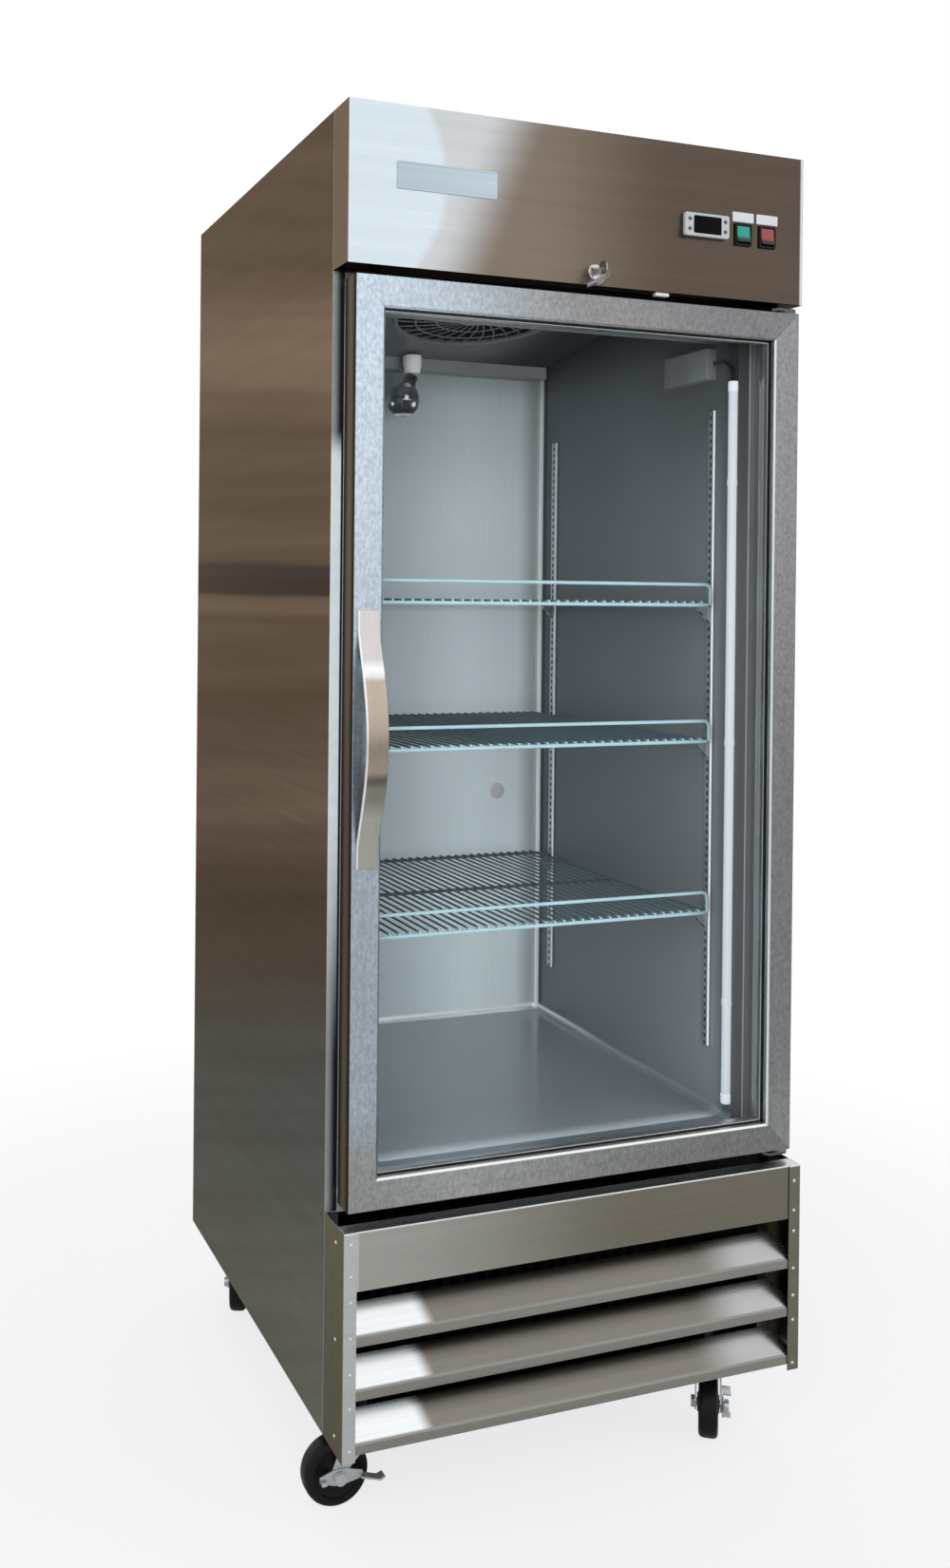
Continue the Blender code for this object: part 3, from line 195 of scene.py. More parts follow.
# %% [markdown]
# Every finish starts from one Principled shader and reads the piece's own Object coordinates. Pieces keep
# their place in the mesh, so these coordinates are metres in the frame of the whole refrigerator.


# %% Start of a finish
def new_finish(name, metallic, roughness):
    """A material, its shader, the object coordinates and their three parts."""
    material = bpy.data.materials.new(name)
    material.use_nodes = True
    shader = material.node_tree.nodes["Principled BSDF"]
    shader.inputs["Metallic"].default_value = metallic
    shader.inputs["Roughness"].default_value = roughness
    place = Wire(material.node_tree).node("ShaderNodeTexCoord", out="Object")
    parts = [place.node("ShaderNodeSeparateXYZ", inputs={0: place}, out=i) for i in range(3)]
    return material, shader, place, parts


def lead(wire, shader, socket):
    """Join a wire to a socket of the shader."""
    wire.tree.links.new(wire.socket, shader.inputs[socket])


def ripple(height, shader, strength, distance):
    """Fine relief from a height."""
    inputs = {"Strength": strength, "Distance": distance, "Height": height}
    lead(height.node("ShaderNodeBump", inputs=inputs), shader, "Normal")


print("finishes can be made")

# %% [markdown]
# ## Brushed stainless steel
# The sheets are brushed in one direction. A flat grey metal would look like plastic, so each sheet gets
# fine lines along its grain, broader streaks, and a tone of its own. That tone is painted reflection: steel
# holds the colours of its surroundings in soft bands, and here they are painted into the base colour, so
# that they stay when the view or the light changes.

# %% Brushed sheet
FINE = {"X": (3.0, 500.0, 500.0), "Y": (500.0, 3.0, 500.0), "Z": (500.0, 500.0, 3.0)}
BROAD = {"X": (0.7, 55.0, 55.0), "Y": (55.0, 0.7, 55.0), "Z": (55.0, 55.0, 0.7)}


def brushed(name, along, tone, roughness=0.28, edge=(1.0, 1.0, 1.0), bare=None):
    """Sheet brushed along one axis, over a tone of painted reflections that follows the place. Bare tells
    where it is metal.
    """
    material, shader, place, parts = new_finish(name, 1.0, roughness)
    shader.inputs["Specular Tint"].default_value = rgb(*edge)
    fine = noise(place, FINE[along], 3.0)
    broad = noise(place, BROAD[along], 2.0)
    lines = 0.80 + 0.20 * fine + 0.20 * broad
    lead(scaled(tone(place, *parts), lines), shader, "Base Color")
    lead(roughness - 0.06 + 0.12 * fine, shader, "Roughness")
    if bare:
        lead(bare(*parts), shader, "Metallic")
    ripple(fine, shader, 0.10, 0.0003)
    return material


print("sheet can be brushed along", ", ".join(FINE))

# %% [markdown]
# Each sheet gets a tone as a function of the place on it. The side and top sheets are single folded
# plates. Their lines run from front to rear, so broad bands of painted reflection suit them, and the
# narrow fold at the front edge shows as a line of painted highlight in some places and painted shade in
# others. An image could hold the bands, but soft steps of height stay sharp at any distance.


# %% Side and top sheets
def behind_fold(x, y, z):
    """0 on the narrow front fold of the side sheets, 1 on the rest."""
    return smooth(y, FACE + 0.0002, FACE + 0.0008)


EYE_LEVEL, FAN_OUT = 1.316, 0.466


def side_tone(place, x, y, z):
    """Painted reflections in bands that fan out from eye level: bronze above, a dark one at two thirds,
    grey near the floor.
    """
    # All the bands and streaks here are painted reflections.
    drift = noise(place, (0.4, 0.4, 14.0), 3.0)
    fan = 1.0 + FAN_OUT * (y - FACE)
    rise = z - EYE_LEVEL
    height = EYE_LEVEL + rise.math("DIVIDE", rise, fan) + 0.04 * (drift - 0.5)
    spread = place.node("ShaderNodeCombineXYZ", inputs={0: x, 1: y, 2: height})
    streaks = noise(spread, (0.3, 0.3, 26.0), 4.0)
    pale = band(height, 1.04, 0.16) + 0.75 * band(height, 1.67, 0.13) + 0.4 * band(height, 1.310, 0.022)
    bronze = mix(pale, rgb(0.150, 0.118, 0.094), rgb(0.290, 0.218, 0.174))
    dark = between(height, (1.321, 1.327), (1.360, 1.375))
    bronze = mix(dark, bronze, rgb(0.066, 0.062, 0.064))
    grey = mix(smooth(height, 0.10, 0.60), rgb(0.300, 0.315, 0.280), rgb(0.153, 0.172, 0.172))
    wall = scaled(mix(smooth(height, 0.58, 0.90), grey, bronze), 0.66 + 0.68 * streaks)
    # The front fold: painted shade on its inner part by the door, and a painted highlight at mid height.
    dim = mix(smooth(x, -HALF + 0.002, -HALF + 0.014), rgb(0.34, 0.36, 0.36), rgb(0.012, 0.013, 0.015))
    lit = between(z, (0.65, 1.05), (1.515, 1.560)) * (1.0 - smooth(x, -HALF + 0.0140, -HALF + 0.0155))
    fold = mix(lit, dim, rgb(0.90, 0.98, 1.00))
    return mix(behind_fold(x, y, z), fold, wall)


def plain_tone(place, x, y, z):
    """The right side and the top: even warm grey with a painted reflection, paler towards the floor, and
    painted shade on the front fold.
    """
    cloud = noise(place, (1.5, 0.3, 6.0), 3.0)
    wall = mix(smooth(z, 0.20, 1.30), rgb(0.330, 0.325, 0.310), rgb(0.235, 0.216, 0.196))
    return mix(behind_fold(x, y, z), rgb(0.030, 0.031, 0.034), scaled(wall, 0.75 + 0.50 * cloud))


print("bands of the side fan out from a height of", EYE_LEVEL, "m")

# %% [markdown]
# The header is one folded box over the door. Its tone is painted reflection, falling from a pale left end
# to a bronze right end, along a bowed edge. A straight step would do, and adding the square of the height
# to the width bends it.

# %% Header sheet
BOW_LEVEL = 1.908


def header_tone(place, x, y, z):
    """Painted reflections: pale and cool on the left with a bowed edge, then bronze to the right. The foot
    is in painted shade.
    """
    rise = z - BOW_LEVEL
    bow = smooth(x + 3.0 * rise * rise, -0.240, -0.220)
    pale = mix(bow, rgb(0.71, 0.80, 0.87), rgb(0.62, 0.65, 0.67))
    bronze = mix(smooth(x, -0.12, 0.16), rgb(0.235, 0.188, 0.148), rgb(0.116, 0.086, 0.067))
    # A painted highlight on the rounded right corner.
    corner = between(x, (HALF - 0.0060, HALF - 0.0030), (HALF - 0.0009, HALF - 0.0004))
    bronze = mix(corner, bronze, rgb(0.700, 0.710, 0.720))
    front = smooth(x, -HALF + 0.0006, -HALF + 0.0012)
    sheet = mix(1.0 - front + smooth(x - 0.40 * rise, -0.215, -0.105) * front, pale, bronze)
    return mix(smooth(z, HEAD_FOOT + 0.0003, HEAD_FOOT + 0.0009), rgb(0.010, 0.010, 0.010), sheet)


print("header foot lies at", round(HEAD_FOOT, 4), "m")


# %% [markdown]
# The door frame is four pieces of one sheet with mitred corners. They share one cool tone of painted
# reflection, so that the corners meet without a break, and the rails and stiles add only painted
# highlights on the edges round the glass.


# %% Door frame
def door_tone(place, x, y, z):
    """Painted reflections: cool grey, palest at the upper left and warmer below. The outer sides of the
    door are brown.
    """
    cool = mix(smooth(x, -0.37, 0.02), rgb(0.600, 0.700, 0.800), rgb(0.290, 0.290, 0.296))
    cool = mix(smooth(x, 0.02, 0.25), cool, rgb(0.226, 0.230, 0.240))
    warm = mix(smooth(x, -0.37, 0.25), rgb(0.500, 0.520, 0.505), rgb(0.265, 0.275, 0.265))
    cool = mix(smooth(z, 0.52, 0.62), warm, cool)
    # Painted shade: the lower door is darker, more so towards the left.
    left = 1.0 - smooth(x, -HALF + 0.06, -HALF + 0.20)
    level = 1.04 - (0.20 + 0.18 * left) * (1.0 - smooth(z, 0.65, 1.55))
    speckle = noise(place, (240.0, 240.0, 150.0), 2.0)
    front = scaled(cool, level * (0.60 + 0.80 * speckle))
    # The outer sides: a brown painted reflection, with painted shade towards their front and back edges.
    side = mix(band(y, DOOR_MIDDLE, 0.022), rgb(0.030, 0.027, 0.023), rgb(0.185, 0.163, 0.136))
    return mix(smooth(absolute(x), DOOR_HALF - 0.0008, DOOR_HALF - 0.0003), front, side)


def rail_tone(place, x, y, z):
    """The tone of the rails: the door's, with a painted highlight on the sill under the glass."""
    sill = between(z, (SILL - 0.004, SILL - 0.002), (SILL + 0.001, SILL + 0.002))
    return mix(sill, door_tone(place, x, y, z), rgb(0.90, 0.92, 0.93))


def stile_tone(place, x, y, z):
    """The tone of the stiles: the door's, painted brighter on the right one, with a painted highlight on
    its inner edge.
    """
    right = smooth(x, 0.0, 0.01)
    edge = right * smooth(STILE_EDGE - x, -0.0030, -0.0022)
    return mix(edge, scaled(door_tone(place, x, y, z), 1.0 + 0.28 * right), rgb(0.80, 0.84, 0.86))


print("door is", round(2 * DOOR_HALF, 4), "m wide")


# %% [markdown]
# The handle is bowed, so every height of it faces another way and has another tone. Bands of painted
# reflection along the height follow the bow, and a painted highlight marks its left edge.


# %% Handle strap
def handle_tone(place, x, y, z):
    """Painted reflections on the bow: pale with a white highlight above, then brown, a dark turn, and grey
    below.
    """
    upper = mix(band(z, 1.222, 0.018), rgb(0.690, 0.655, 0.650), rgb(0.980, 0.985, 0.990))
    brown = mix(smooth(z, 1.085, 1.205), rgb(0.380, 0.310, 0.255), rgb(0.560, 0.470, 0.390))
    lower = mix(smooth(z, 1.015, 1.050), rgb(0.420, 0.430, 0.380), rgb(0.260, 0.240, 0.200))
    strap = mix(smooth(z, 1.205, 1.214), brown, upper)
    strap = mix(smooth(z, 1.066, 1.080), lower, strap)
    strap = mix(0.8 * band(z, 1.072, 0.014), strap, rgb(0.100, 0.092, 0.080))
    # A painted highlight along the left edge.
    rim = 1.0 - smooth(x, GRIP_EDGE + 0.0012, GRIP_EDGE + 0.0024)
    return mix(rim, strap, rgb(0.95, 0.96, 0.97))


print("handle rim is at x =", round(GRIP_EDGE, 4))


# %% [markdown]
# The grille has flat parts and sloping louvers. The flat parts carry painted reflections that change
# slowly from left to right, and the louvers carry painted shade towards the sheet above and painted
# reflections on the left and at their right ends. The bare plate on the header is a thin silver sheet.


# %% Grille, louvers and bare plate
def grille_tone(place, x, y, z):
    """Painted reflections on the band and brackets: grey left, bronze right, with painted highlights on a
    fold and the top edge.
    """
    flat = mix(smooth(x, -HALF + 0.03, 0.10), rgb(0.420, 0.420, 0.390), rgb(0.205, 0.187, 0.148))
    # A painted highlight on the front fold of the left bracket.
    fold = 1.0 - smooth(x, -HALF + 0.0225, -HALF + 0.0245)
    front = mix(fold, flat, rgb(0.560, 0.585, 0.575))
    edged = mix(smooth(z, GRILLE_TOP - 0.0030, GRILLE_TOP - 0.0015), front, rgb(0.88, 0.90, 0.90))
    # The outer side of the left bracket: an olive painted reflection.
    return mix(smooth(x, -HALF + 0.0004, -HALF + 0.0010), rgb(0.250, 0.240, 0.185), edged)


def louver_tone(place, x, y, z):
    """The sloping louvers: a white painted reflection on the left, pale painted reflections at the right
    ends, and painted shade under the sheet above.
    """
    slope = smooth(y, GRILLE_FRONT + 0.003, GRILLE_FRONT + 0.006)
    shade = smooth(y, GRILLE_FRONT + 0.012, GRILLE_FRONT + 0.036)
    white_reflection = 1.0 - smooth(x + 0.35 * (y - GRILLE_FRONT), -0.258, -0.233)
    end = smooth(x, 0.195, 0.295)
    middle = mix(shade, rgb(0.240, 0.220, 0.192), rgb(0.085, 0.075, 0.064))
    lit = mix(white_reflection, mix(end, middle, rgb(0.500, 0.510, 0.510)), rgb(0.900, 0.940, 0.960))
    return mix(slope, rgb(0.290, 0.285, 0.260), lit)


def plate_tone(place, x, y, z):
    """The bare plate: pale silver with a cool cast."""
    return mix(smooth(x, -0.300, -0.160), rgb(0.490, 0.590, 0.660), rgb(0.540, 0.640, 0.700))


print("grille front is at y =", round(GRILLE_FRONT, 4))

# %% [markdown]
# With the tones written, the recipe makes one finish for each kind of sheet. Bare metal turns white at a
# low angle. A brown edge tint keeps the brushed sheets from doing so.

# %% Brushed finishes
BROWN_EDGE = (0.44, 0.40, 0.36)
SHEETS = {
    "side": brushed("brushed_side", "Y", side_tone, 0.30, (0.48, 0.43, 0.38), behind_fold),
    "plain": brushed("brushed_plain", "Y", plain_tone, 0.30, (0.60, 0.58, 0.55), behind_fold),
    "header": brushed("brushed_header", "X", header_tone, 0.26, BROWN_EDGE),
    "rail": brushed("brushed_rail", "X", rail_tone, 0.34, BROWN_EDGE),
    "stile": brushed("brushed_stile", "Z", stile_tone, 0.34, BROWN_EDGE),
    "handle": brushed("brushed_handle", "Z", handle_tone, 0.26),
    "grille": brushed("brushed_grille", "X", grille_tone, 0.28, BROWN_EDGE),
    "louver": brushed("brushed_louver", "X", louver_tone, 0.26),
}
PLATE_SILVER = brushed("bare_plate_silver", "X", plate_tone, 0.30)
print(len(SHEETS), "brushed sheets")

# %% [markdown]
# The inside is a duller sheet with a soft cloud instead of lines, and its light and shade are painted.
# Its rear wall is painted the palest, the rounded corner beside it and the seam at its foot carry painted
# highlights, the floor is polished, and the top lies in the painted shade of the cover. On the front
# flange, a painted shadow runs down each side of the opening.


# %% Liner sheet
def liner_finish():
    """Cloudy sheet with painted light and shade. Masks tell the floor, the rear wall, the corners and the
    front flange apart.
    """
    material, shader, place, (x, y, z) = new_finish("cloudy_liner", 0.35, 0.42)
    cloud = noise(place, (3.0, 3.0, 2.0), 3.0)
    grain = noise(place, (160.0, 160.0, 8.0), 2.0)
    floor = 1.0 - smooth(z, FLOOR + 0.003, FLOOR + 0.010)
    # Painted light: the front of the floor is lighter.
    sill = floor * (1.0 - smooth(y, FACE + 0.02, FACE + 0.06))
    rear = smooth(y, INNER_BACK - 0.012, INNER_BACK - 0.004)
    # A painted highlight on the rounded rear corner at the right.
    corner = smooth(x, INNER_RIGHT - 0.0055, INNER_RIGHT - 0.0042)
    corner = corner * smooth(y, INNER_BACK - 0.011, INNER_BACK - 0.008)
    # Painted shade: the rear wall darkens beside the right corner, and the walls just in front of the rear
    # corners.
    beside = smooth(x, INNER_RIGHT - 0.055, INNER_RIGHT - 0.010)
    crease_shade = between(y, (INNER_BACK - 0.028, INNER_BACK - 0.021), (INNER_BACK - 0.012, INNER_BACK - 0.009))
    # A painted highlight along the seam at the foot of the walls, towards the rear.
    seam = band(z, FLOOR + 0.009, 0.006) * smooth(y, INNER_BACK - 0.300, INNER_BACK - 0.010)
    # Painted shadow: a dark strip on the front flange down each side of the opening.
    inner, outer = (INNER_RIGHT - 0.002, INNER_RIGHT), (INNER_RIGHT + 0.0195, INNER_RIGHT + 0.0205)
    jamb_shadow = between(absolute(x), inner, outer) * smooth(z, FLOOR - 0.002, FLOOR)
    # Painted shade at the top front of the right wall.
    gloom = smooth(z, 1.35, 1.70) * (1.0 - smooth(y, FACE + 0.05, FACE + 0.35)) * smooth(x, 0.20, 0.30)
    face = 1.0 - smooth(y, FACE + 0.0003, FACE + 0.0010)
    # Painted light: the walls are lighter low down, and the floor lighter towards the rear.
    low = 1.0 - smooth(z, 0.50, 0.90)
    wall = mix(low, rgb(0.132, 0.151, 0.166), rgb(0.185, 0.211, 0.232))
    depth = smooth(y, FACE + 0.05, INNER_BACK - 0.05)
    wall = mix(floor, wall, mix(depth, rgb(0.145, 0.168, 0.180), rgb(0.290, 0.325, 0.345)))
    wall = mix(sill, wall, rgb(0.340, 0.390, 0.430))
    # The rear wall is painted light: darker to the left, lighter at its foot and top.
    pale = mix(smooth(x, -0.060, 0.170), rgb(0.415, 0.497, 0.530), rgb(0.720, 0.838, 0.885))
    ends = 0.15 * (1.0 - smooth(z, 0.70, 0.95)) + 0.04 * smooth(z, 1.35, 1.50)
    pale = scaled(pale, (1.0 + ends) * (1.0 - 0.45 * beside))
    wall = mix(rear, scaled(wall, 1.0 - 0.6 * crease_shade * (1.0 - floor)), pale)
    wall = mix(corner, wall, rgb(0.960, 0.980, 0.990))
    wall = mix(seam, wall, rgb(0.900, 0.940, 0.960))
    flange = mix(jamb_shadow, rgb(0.560, 0.620, 0.660), rgb(0.230, 0.245, 0.255))
    wall = mix(face, wall, flange)
    shade = (1.0 - 0.80 * smooth(z, 1.690, 1.830)) * (1.0 - 0.55 * gloom)
    lead(scaled(wall, (0.84 + 0.24 * cloud + 0.08 * grain) * shade), shader, "Base Color")
    lead(0.42 - 0.26 * floor + 0.06 * grain, shader, "Roughness")
    ripple(grain * (1.0 - floor), shader, 0.03, 0.0003)
    return material


LINER = liner_finish()
print("liner sheet made")

# %% [markdown]
# ## The other metals
# Galvanised sheet has a spangle of crystals, zinc plating is even and slightly blue, and polished parts
# are smooth. A cell pattern gives the spangle, and cloudy noise keeps the others from looking like paint.


# %% Galvanised, zinc, polished and bare metal
SLOT_PITCH = 0.0127


def spangled(name, tone):
    """Galvanised sheet: crystals in slightly different greys."""
    material, shader, place, parts = new_finish(name, 1.0, 0.42)
    cells = place.node("ShaderNodeTexVoronoi", inputs={"Vector": place, "Scale": 70.0}, out="Color")
    grey = cells.node("ShaderNodeRGBToBW", inputs={0: cells})
    lead(mix(grey, rgb(*[0.80 * part for part in tone]), rgb(*tone)), shader, "Base Color")
    lead(0.36 + 0.14 * grey, shader, "Roughness")
    return material


def clouded_metal(name, tone, roughness, relief=0.04, metallic=1.0):
    """Plated or cast metal with a faint cloud in tone and gloss."""
    material, shader, place, parts = new_finish(name, metallic, roughness)
    cloud = noise(place, (60.0, 60.0, 60.0), 3.0)
    lead(mix(cloud, rgb(*[0.82 * part for part in tone]), rgb(*tone)), shader, "Base Color")
    lead(roughness - 0.05 + 0.10 * cloud, shader, "Roughness")
    ripple(noise(place, (700.0, 700.0, 700.0), 2.0), shader, relief, 0.0003)
    return material


def slotted(name, node):
    """A shelf standard: galvanised strip with a row of slots painted dark as shade and a painted highlight
    on its front edge.
    """
    material, shader, place, (x, y, z) = new_finish(name, 1.0, 0.38)
    low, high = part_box(node)
    middle, half = (low.y + high.y) / 2, (high.y - low.y) / 2
    # The slots are painted: dark as the shade inside a hole, with a little relief.
    turn = z * (1.0 / SLOT_PITCH)
    tall = between(turn.math("FRACT", turn), (0.16, 0.22), (0.72, 0.78))
    slot = tall * (1.0 - smooth(absolute(y - middle), 0.0022, 0.0028))
    cloud = noise(place, (90.0, 90.0, 90.0), 2.0)
    bare = mix(cloud, rgb(0.56, 0.60, 0.62), rgb(0.76, 0.79, 0.81))
    # A painted highlight on the front edge, with streaks.
    edge = smooth(middle - y, half - 0.0015, half - 0.0008)
    streak = noise(place, (4.0, 4.0, 9.0), 2.0)
    bright = scaled(mix(streak, rgb(0.62, 0.65, 0.66), rgb(1.0, 1.0, 1.0)), 0.92)
    # Painted shade on the part of the edge next to the side wall.
    outside = smooth(absolute(x), INNER_RIGHT - 0.0030, INNER_RIGHT - 0.0022)
    bare = mix(edge, bare, mix(outside, bright, rgb(0.110, 0.122, 0.130)))
    lead(mix(slot, bare, rgb(0.015, 0.016, 0.018)), shader, "Base Color")
    lead((1.0 - slot) * (1.0 - edge), shader, "Metallic")
    lead(0.32 + 0.14 * cloud + 0.3 * slot, shader, "Roughness")
    ripple(1.0 - slot, shader, 0.6, 0.001)
    return material


GALVANISED = spangled("galvanised_sheet", (0.46, 0.48, 0.49))
ZINC = clouded_metal("zinc_plating", (0.62, 0.66, 0.69), 0.26, 0.04, 0.55)
CHROME = clouded_metal("polished_chrome", (0.68, 0.68, 0.69), 0.12, 0.01)
KEY_STEEL = clouded_metal("key_steel", (0.40, 0.39, 0.37), 0.18, 0.02)
ALUMINIUM = clouded_metal("bare_aluminium", (0.70, 0.72, 0.73), 0.34)
RIVET_STEEL = clouded_metal("rivet_steel", (0.78, 0.78, 0.77), 0.24)
HINGE_STEEL = clouded_metal("hinge_steel", (0.13, 0.13, 0.135), 0.30)
FRONT_SLOTS = slotted("front_standard_strip", "left_front_standard")
REAR_SLOTS = slotted("rear_standard_strip", "left_rear_standard")
print("plated and galvanised metals made")

# %% [markdown]
# ## Plastics, rubber, paint and glass
# Moulded plastic has a fine leathery relief, rubber is dull and dusty, and sprayed paint has orange peel.
# One recipe with different scales covers them. Glass could bend light in the shader, but the panes are
# flat, so a thin clear sheet that grows more mirror-like at low angles looks the same and lets the light
# in.


# %% Moulded, sprayed and dusty finishes
def moulded(name, tone, roughness, grain=900.0, relief=0.08, dust=0.12, shine=0.5):
    """Plastic, rubber or paint: a cloudy tone with fine relief."""
    material, shader, place, parts = new_finish(name, 0.0, roughness)
    shader.inputs["Specular IOR Level"].default_value = shine
    cloud = noise(place, (22.0, 22.0, 22.0), 4.0)
    dark = [part * (1.0 - dust) for part in tone]
    light = [part * (1.0 + dust) + 0.06 * dust for part in tone]
    lead(mix(cloud, rgb(*dark), rgb(*light)), shader, "Base Color")
    lead(roughness - 0.06 + 0.12 * cloud, shader, "Roughness")
    ripple(noise(place, (grain, grain, grain), 2.0), shader, relief, 0.0002)
    return material


def clear(name, tint, least, most):
    """Flat glass: nearly clear straight on, more of a mirror at a low angle."""
    material, shader, place, parts = new_finish(name, 0.0, 0.03)
    smear = noise(place, (5.0, 5.0, 3.0), 3.0)
    lead(mix(smear, rgb(*tint), rgb(*[1.15 * part for part in tint])), shader, "Base Color")
    facing = place.node("ShaderNodeLayerWeight", inputs={"Blend": 0.35}, out="Facing")
    lead(least + (most - least) * facing * facing + 0.02 * smear, shader, "Alpha")
    lead(0.02 + 0.04 * smear, shader, "Roughness")
    return material


# The machine parts below are black, painted darker still and nearly without gloss as the shade of their
# compartment.
SHADED_BLACK = moulded("shaded_black", (0.004, 0.004, 0.004), 0.80, 500.0, 0.12, 0.02, 0.03)
BLACK_PLASTIC = moulded("moulded_black", (0.010, 0.010, 0.011), 0.34, 900.0, 0.08, 0.06, 0.14)
DISPLAY = moulded("display_black", (0.003, 0.003, 0.004), 0.10, 300.0, 0.0, 0.02, 0.04)
WHITE_PLASTIC = moulded("moulded_white", (0.80, 0.82, 0.82), 0.34, 900.0, 0.03, 0.05)
MILKY = moulded("milky_tube", (0.74, 0.80, 0.84), 0.22, 900.0, 0.01, 0.04)
SILVER_PLASTIC = moulded("silver_bezel", (0.52, 0.55, 0.57), 0.32, 900.0, 0.04, 0.06)
TYRE = moulded("tyre_rubber", (0.006, 0.006, 0.007), 0.34, 500.0, 0.10, 0.08, 0.16)
BEAD = moulded("glazing_bead", (0.016, 0.017, 0.018), 0.50, 700.0, 0.10)
FOAM = moulded("rigid_foam", (0.50, 0.44, 0.29), 0.88, 320.0, 0.40)
GUARD_GREY = moulded("guard_grey", (0.100, 0.118, 0.126), 0.36, 500.0, 0.08)
KEY_GREY = moulded("key_grey", (0.060, 0.064, 0.068), 0.45)
CAP_GREY = moulded("cap_grey", (0.430, 0.460, 0.480), 0.45)
LABEL = moulded("bare_label", (0.70, 0.73, 0.75), 0.40, 600.0, 0.02, 0.04)
PANE = clear("door_glass", (0.060, 0.075, 0.080), 0.006, 0.16)
CAP_WHITE = moulded("cap_white", (0.84, 0.85, 0.85), 0.30, 900.0, 0.02, 0.04)
# Painted light: the milky tube and the white end caps glow a little, which paints them brighter; the strip
# lamp itself is not switched on.
for painted_glow, strength in ((MILKY, 0.30), (CAP_WHITE, 0.45)):
    sockets = painted_glow.node_tree.nodes["Principled BSDF"].inputs
    sockets["Emission Color"].default_value = rgb(0.80, 0.90, 1.0)
    sockets["Emission Strength"].default_value = strength
print("plastics, rubber and glass made")

# %% [markdown]
# The gasket and the shelf wire have a colour that changes with depth. The gasket is grey rubber, and its
# soft lip, which meets the cabinet, carries a pale painted highlight. The wire is coated in a grey green.
# Its long wires lie in each other's shade, and the front rail is in the light, so the coat is painted a
# little paler there.


# %% Gasket rubber and coated wire
def graded(name, roughness, tone, spread, grain, relief):
    """Rubber or coating with a tone that follows the depth, under a cloud and fine relief."""
    material, shader, place, (x, y, z) = new_finish(name, 0.0, roughness)
    cloud = noise(place, (22.0, 22.0, 22.0), 4.0)
    lead(scaled(tone(y), 1.0 - spread / 2 + spread * cloud), shader, "Base Color")
    lead(roughness - 0.06 + 0.12 * cloud, shader, "Roughness")
    ripple(noise(place, (grain, grain, grain), 2.0), shader, relief, 0.0002)
    return material


def gasket_tone(y):
    """Grey, with a pale painted highlight on the lip at the back."""
    return mix(smooth(y, FACE - 0.0045, FACE - 0.0030), rgb(0.180, 0.194, 0.203), rgb(0.700, 0.700, 0.680))


def wire_tone(y):
    """Grey green, paler on the front rail."""
    front = 1.0 - smooth(y, FACE + 0.057, FACE + 0.062)
    return mix(front, rgb(0.034, 0.062, 0.071), rgb(0.165, 0.255, 0.280))


GASKET = graded("gasket_rubber", 0.58, gasket_tone, 0.24, 700.0, 0.10)
COATED = graded("coated_wire", 0.36, wire_tone, 0.32, 260.0, 0.20)
print("gasket rubber and coated wire made")

# %% [markdown]
# The rockers are clear coloured plastic: bright where they face up, with painted shade in their lower
# part. The bulb is a thin mirror that lets the wall show through. Towards its foot it has a painted dark
# reflection, and a few small painted glints and a painted bright line at its foot glow on the glass.


# %% Rockers and bulb
BALL = 0.032


def rocker_finish(name, node, tone):
    """Coloured plastic with painted shade below the middle of the piece."""
    material, shader, place, (x, y, z) = new_finish(name, 0.0, 0.18)
    low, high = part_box(node)
    cloud = noise(place, (160.0, 160.0, 160.0), 2.0)
    lit = smooth(z, low.z + 0.10 * (high.z - low.z), low.z + 0.45 * (high.z - low.z))
    bright = scaled(mix(lit, rgb(*[0.08 * part for part in tone]), rgb(*tone)), 0.80 + 0.40 * cloud)
    lead(bright, shader, "Base Color")
    lead(0.14 + 0.10 * cloud, shader, "Roughness")
    return material


def bulb_finish():
    """A thin mirror over clear glass, a painted dark reflection towards its foot, painted glints and a
    painted bright foot line.
    """
    material, shader, place, (x, y, z) = new_finish("bulb_glass", 1.0, 0.05)
    low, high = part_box("lamp_bulb")
    smear = noise(place, (40.0, 40.0, 40.0), 3.0)
    tone = mix(smooth(z, low.z + 0.012, low.z + 0.030), rgb(0.030, 0.031, 0.032), rgb(0.620, 0.640, 0.650))
    lead(scaled(tone, 0.80 + 0.40 * smear), shader, "Base Color")
    rim = place.node("ShaderNodeLayerWeight", inputs={"Blend": 0.35}, out="Facing")
    lead(0.62 + 0.36 * rim * rim, shader, "Alpha")
    lead(0.03 + 0.06 * smear, shader, "Roughness")
    # Painted highlights: glints that glow at fixed points on the ball, and a glowing line at its foot.
    middle = Vector((low.x + BALL, (low.y + high.y) / 2, low.z + BALL))
    glint = 0.5 * band(z, low.z + 0.0035, 0.0030)
    glints = ((-0.20, -0.95, 0.05, 0.0055), (0.30, -0.88, -0.35, 0.0070), (-0.85, -0.42, -0.30, 0.0045))
    for *way, size in glints:
        ends = {0: place, 1: middle + BALL * Vector(way).normalized()}
        away = place.node("ShaderNodeVectorMath", {"operation": "DISTANCE"}, ends, out="Value")
        glint = glint + 1.0 - smooth(away, 0.3 * size, size)
    lead(mix(glint, rgb(0.0, 0.0, 0.0), rgb(0.85, 0.88, 0.90)), shader, "Emission Color")
    shader.inputs["Emission Strength"].default_value = 1.1
    return material


GREEN = rocker_finish("green_rocker", "light_rocker", (0.008, 0.330, 0.250))
RED = rocker_finish("red_rocker", "power_rocker", (0.330, 0.060, 0.070))
BULB = bulb_finish()
print("rockers and bulb made")


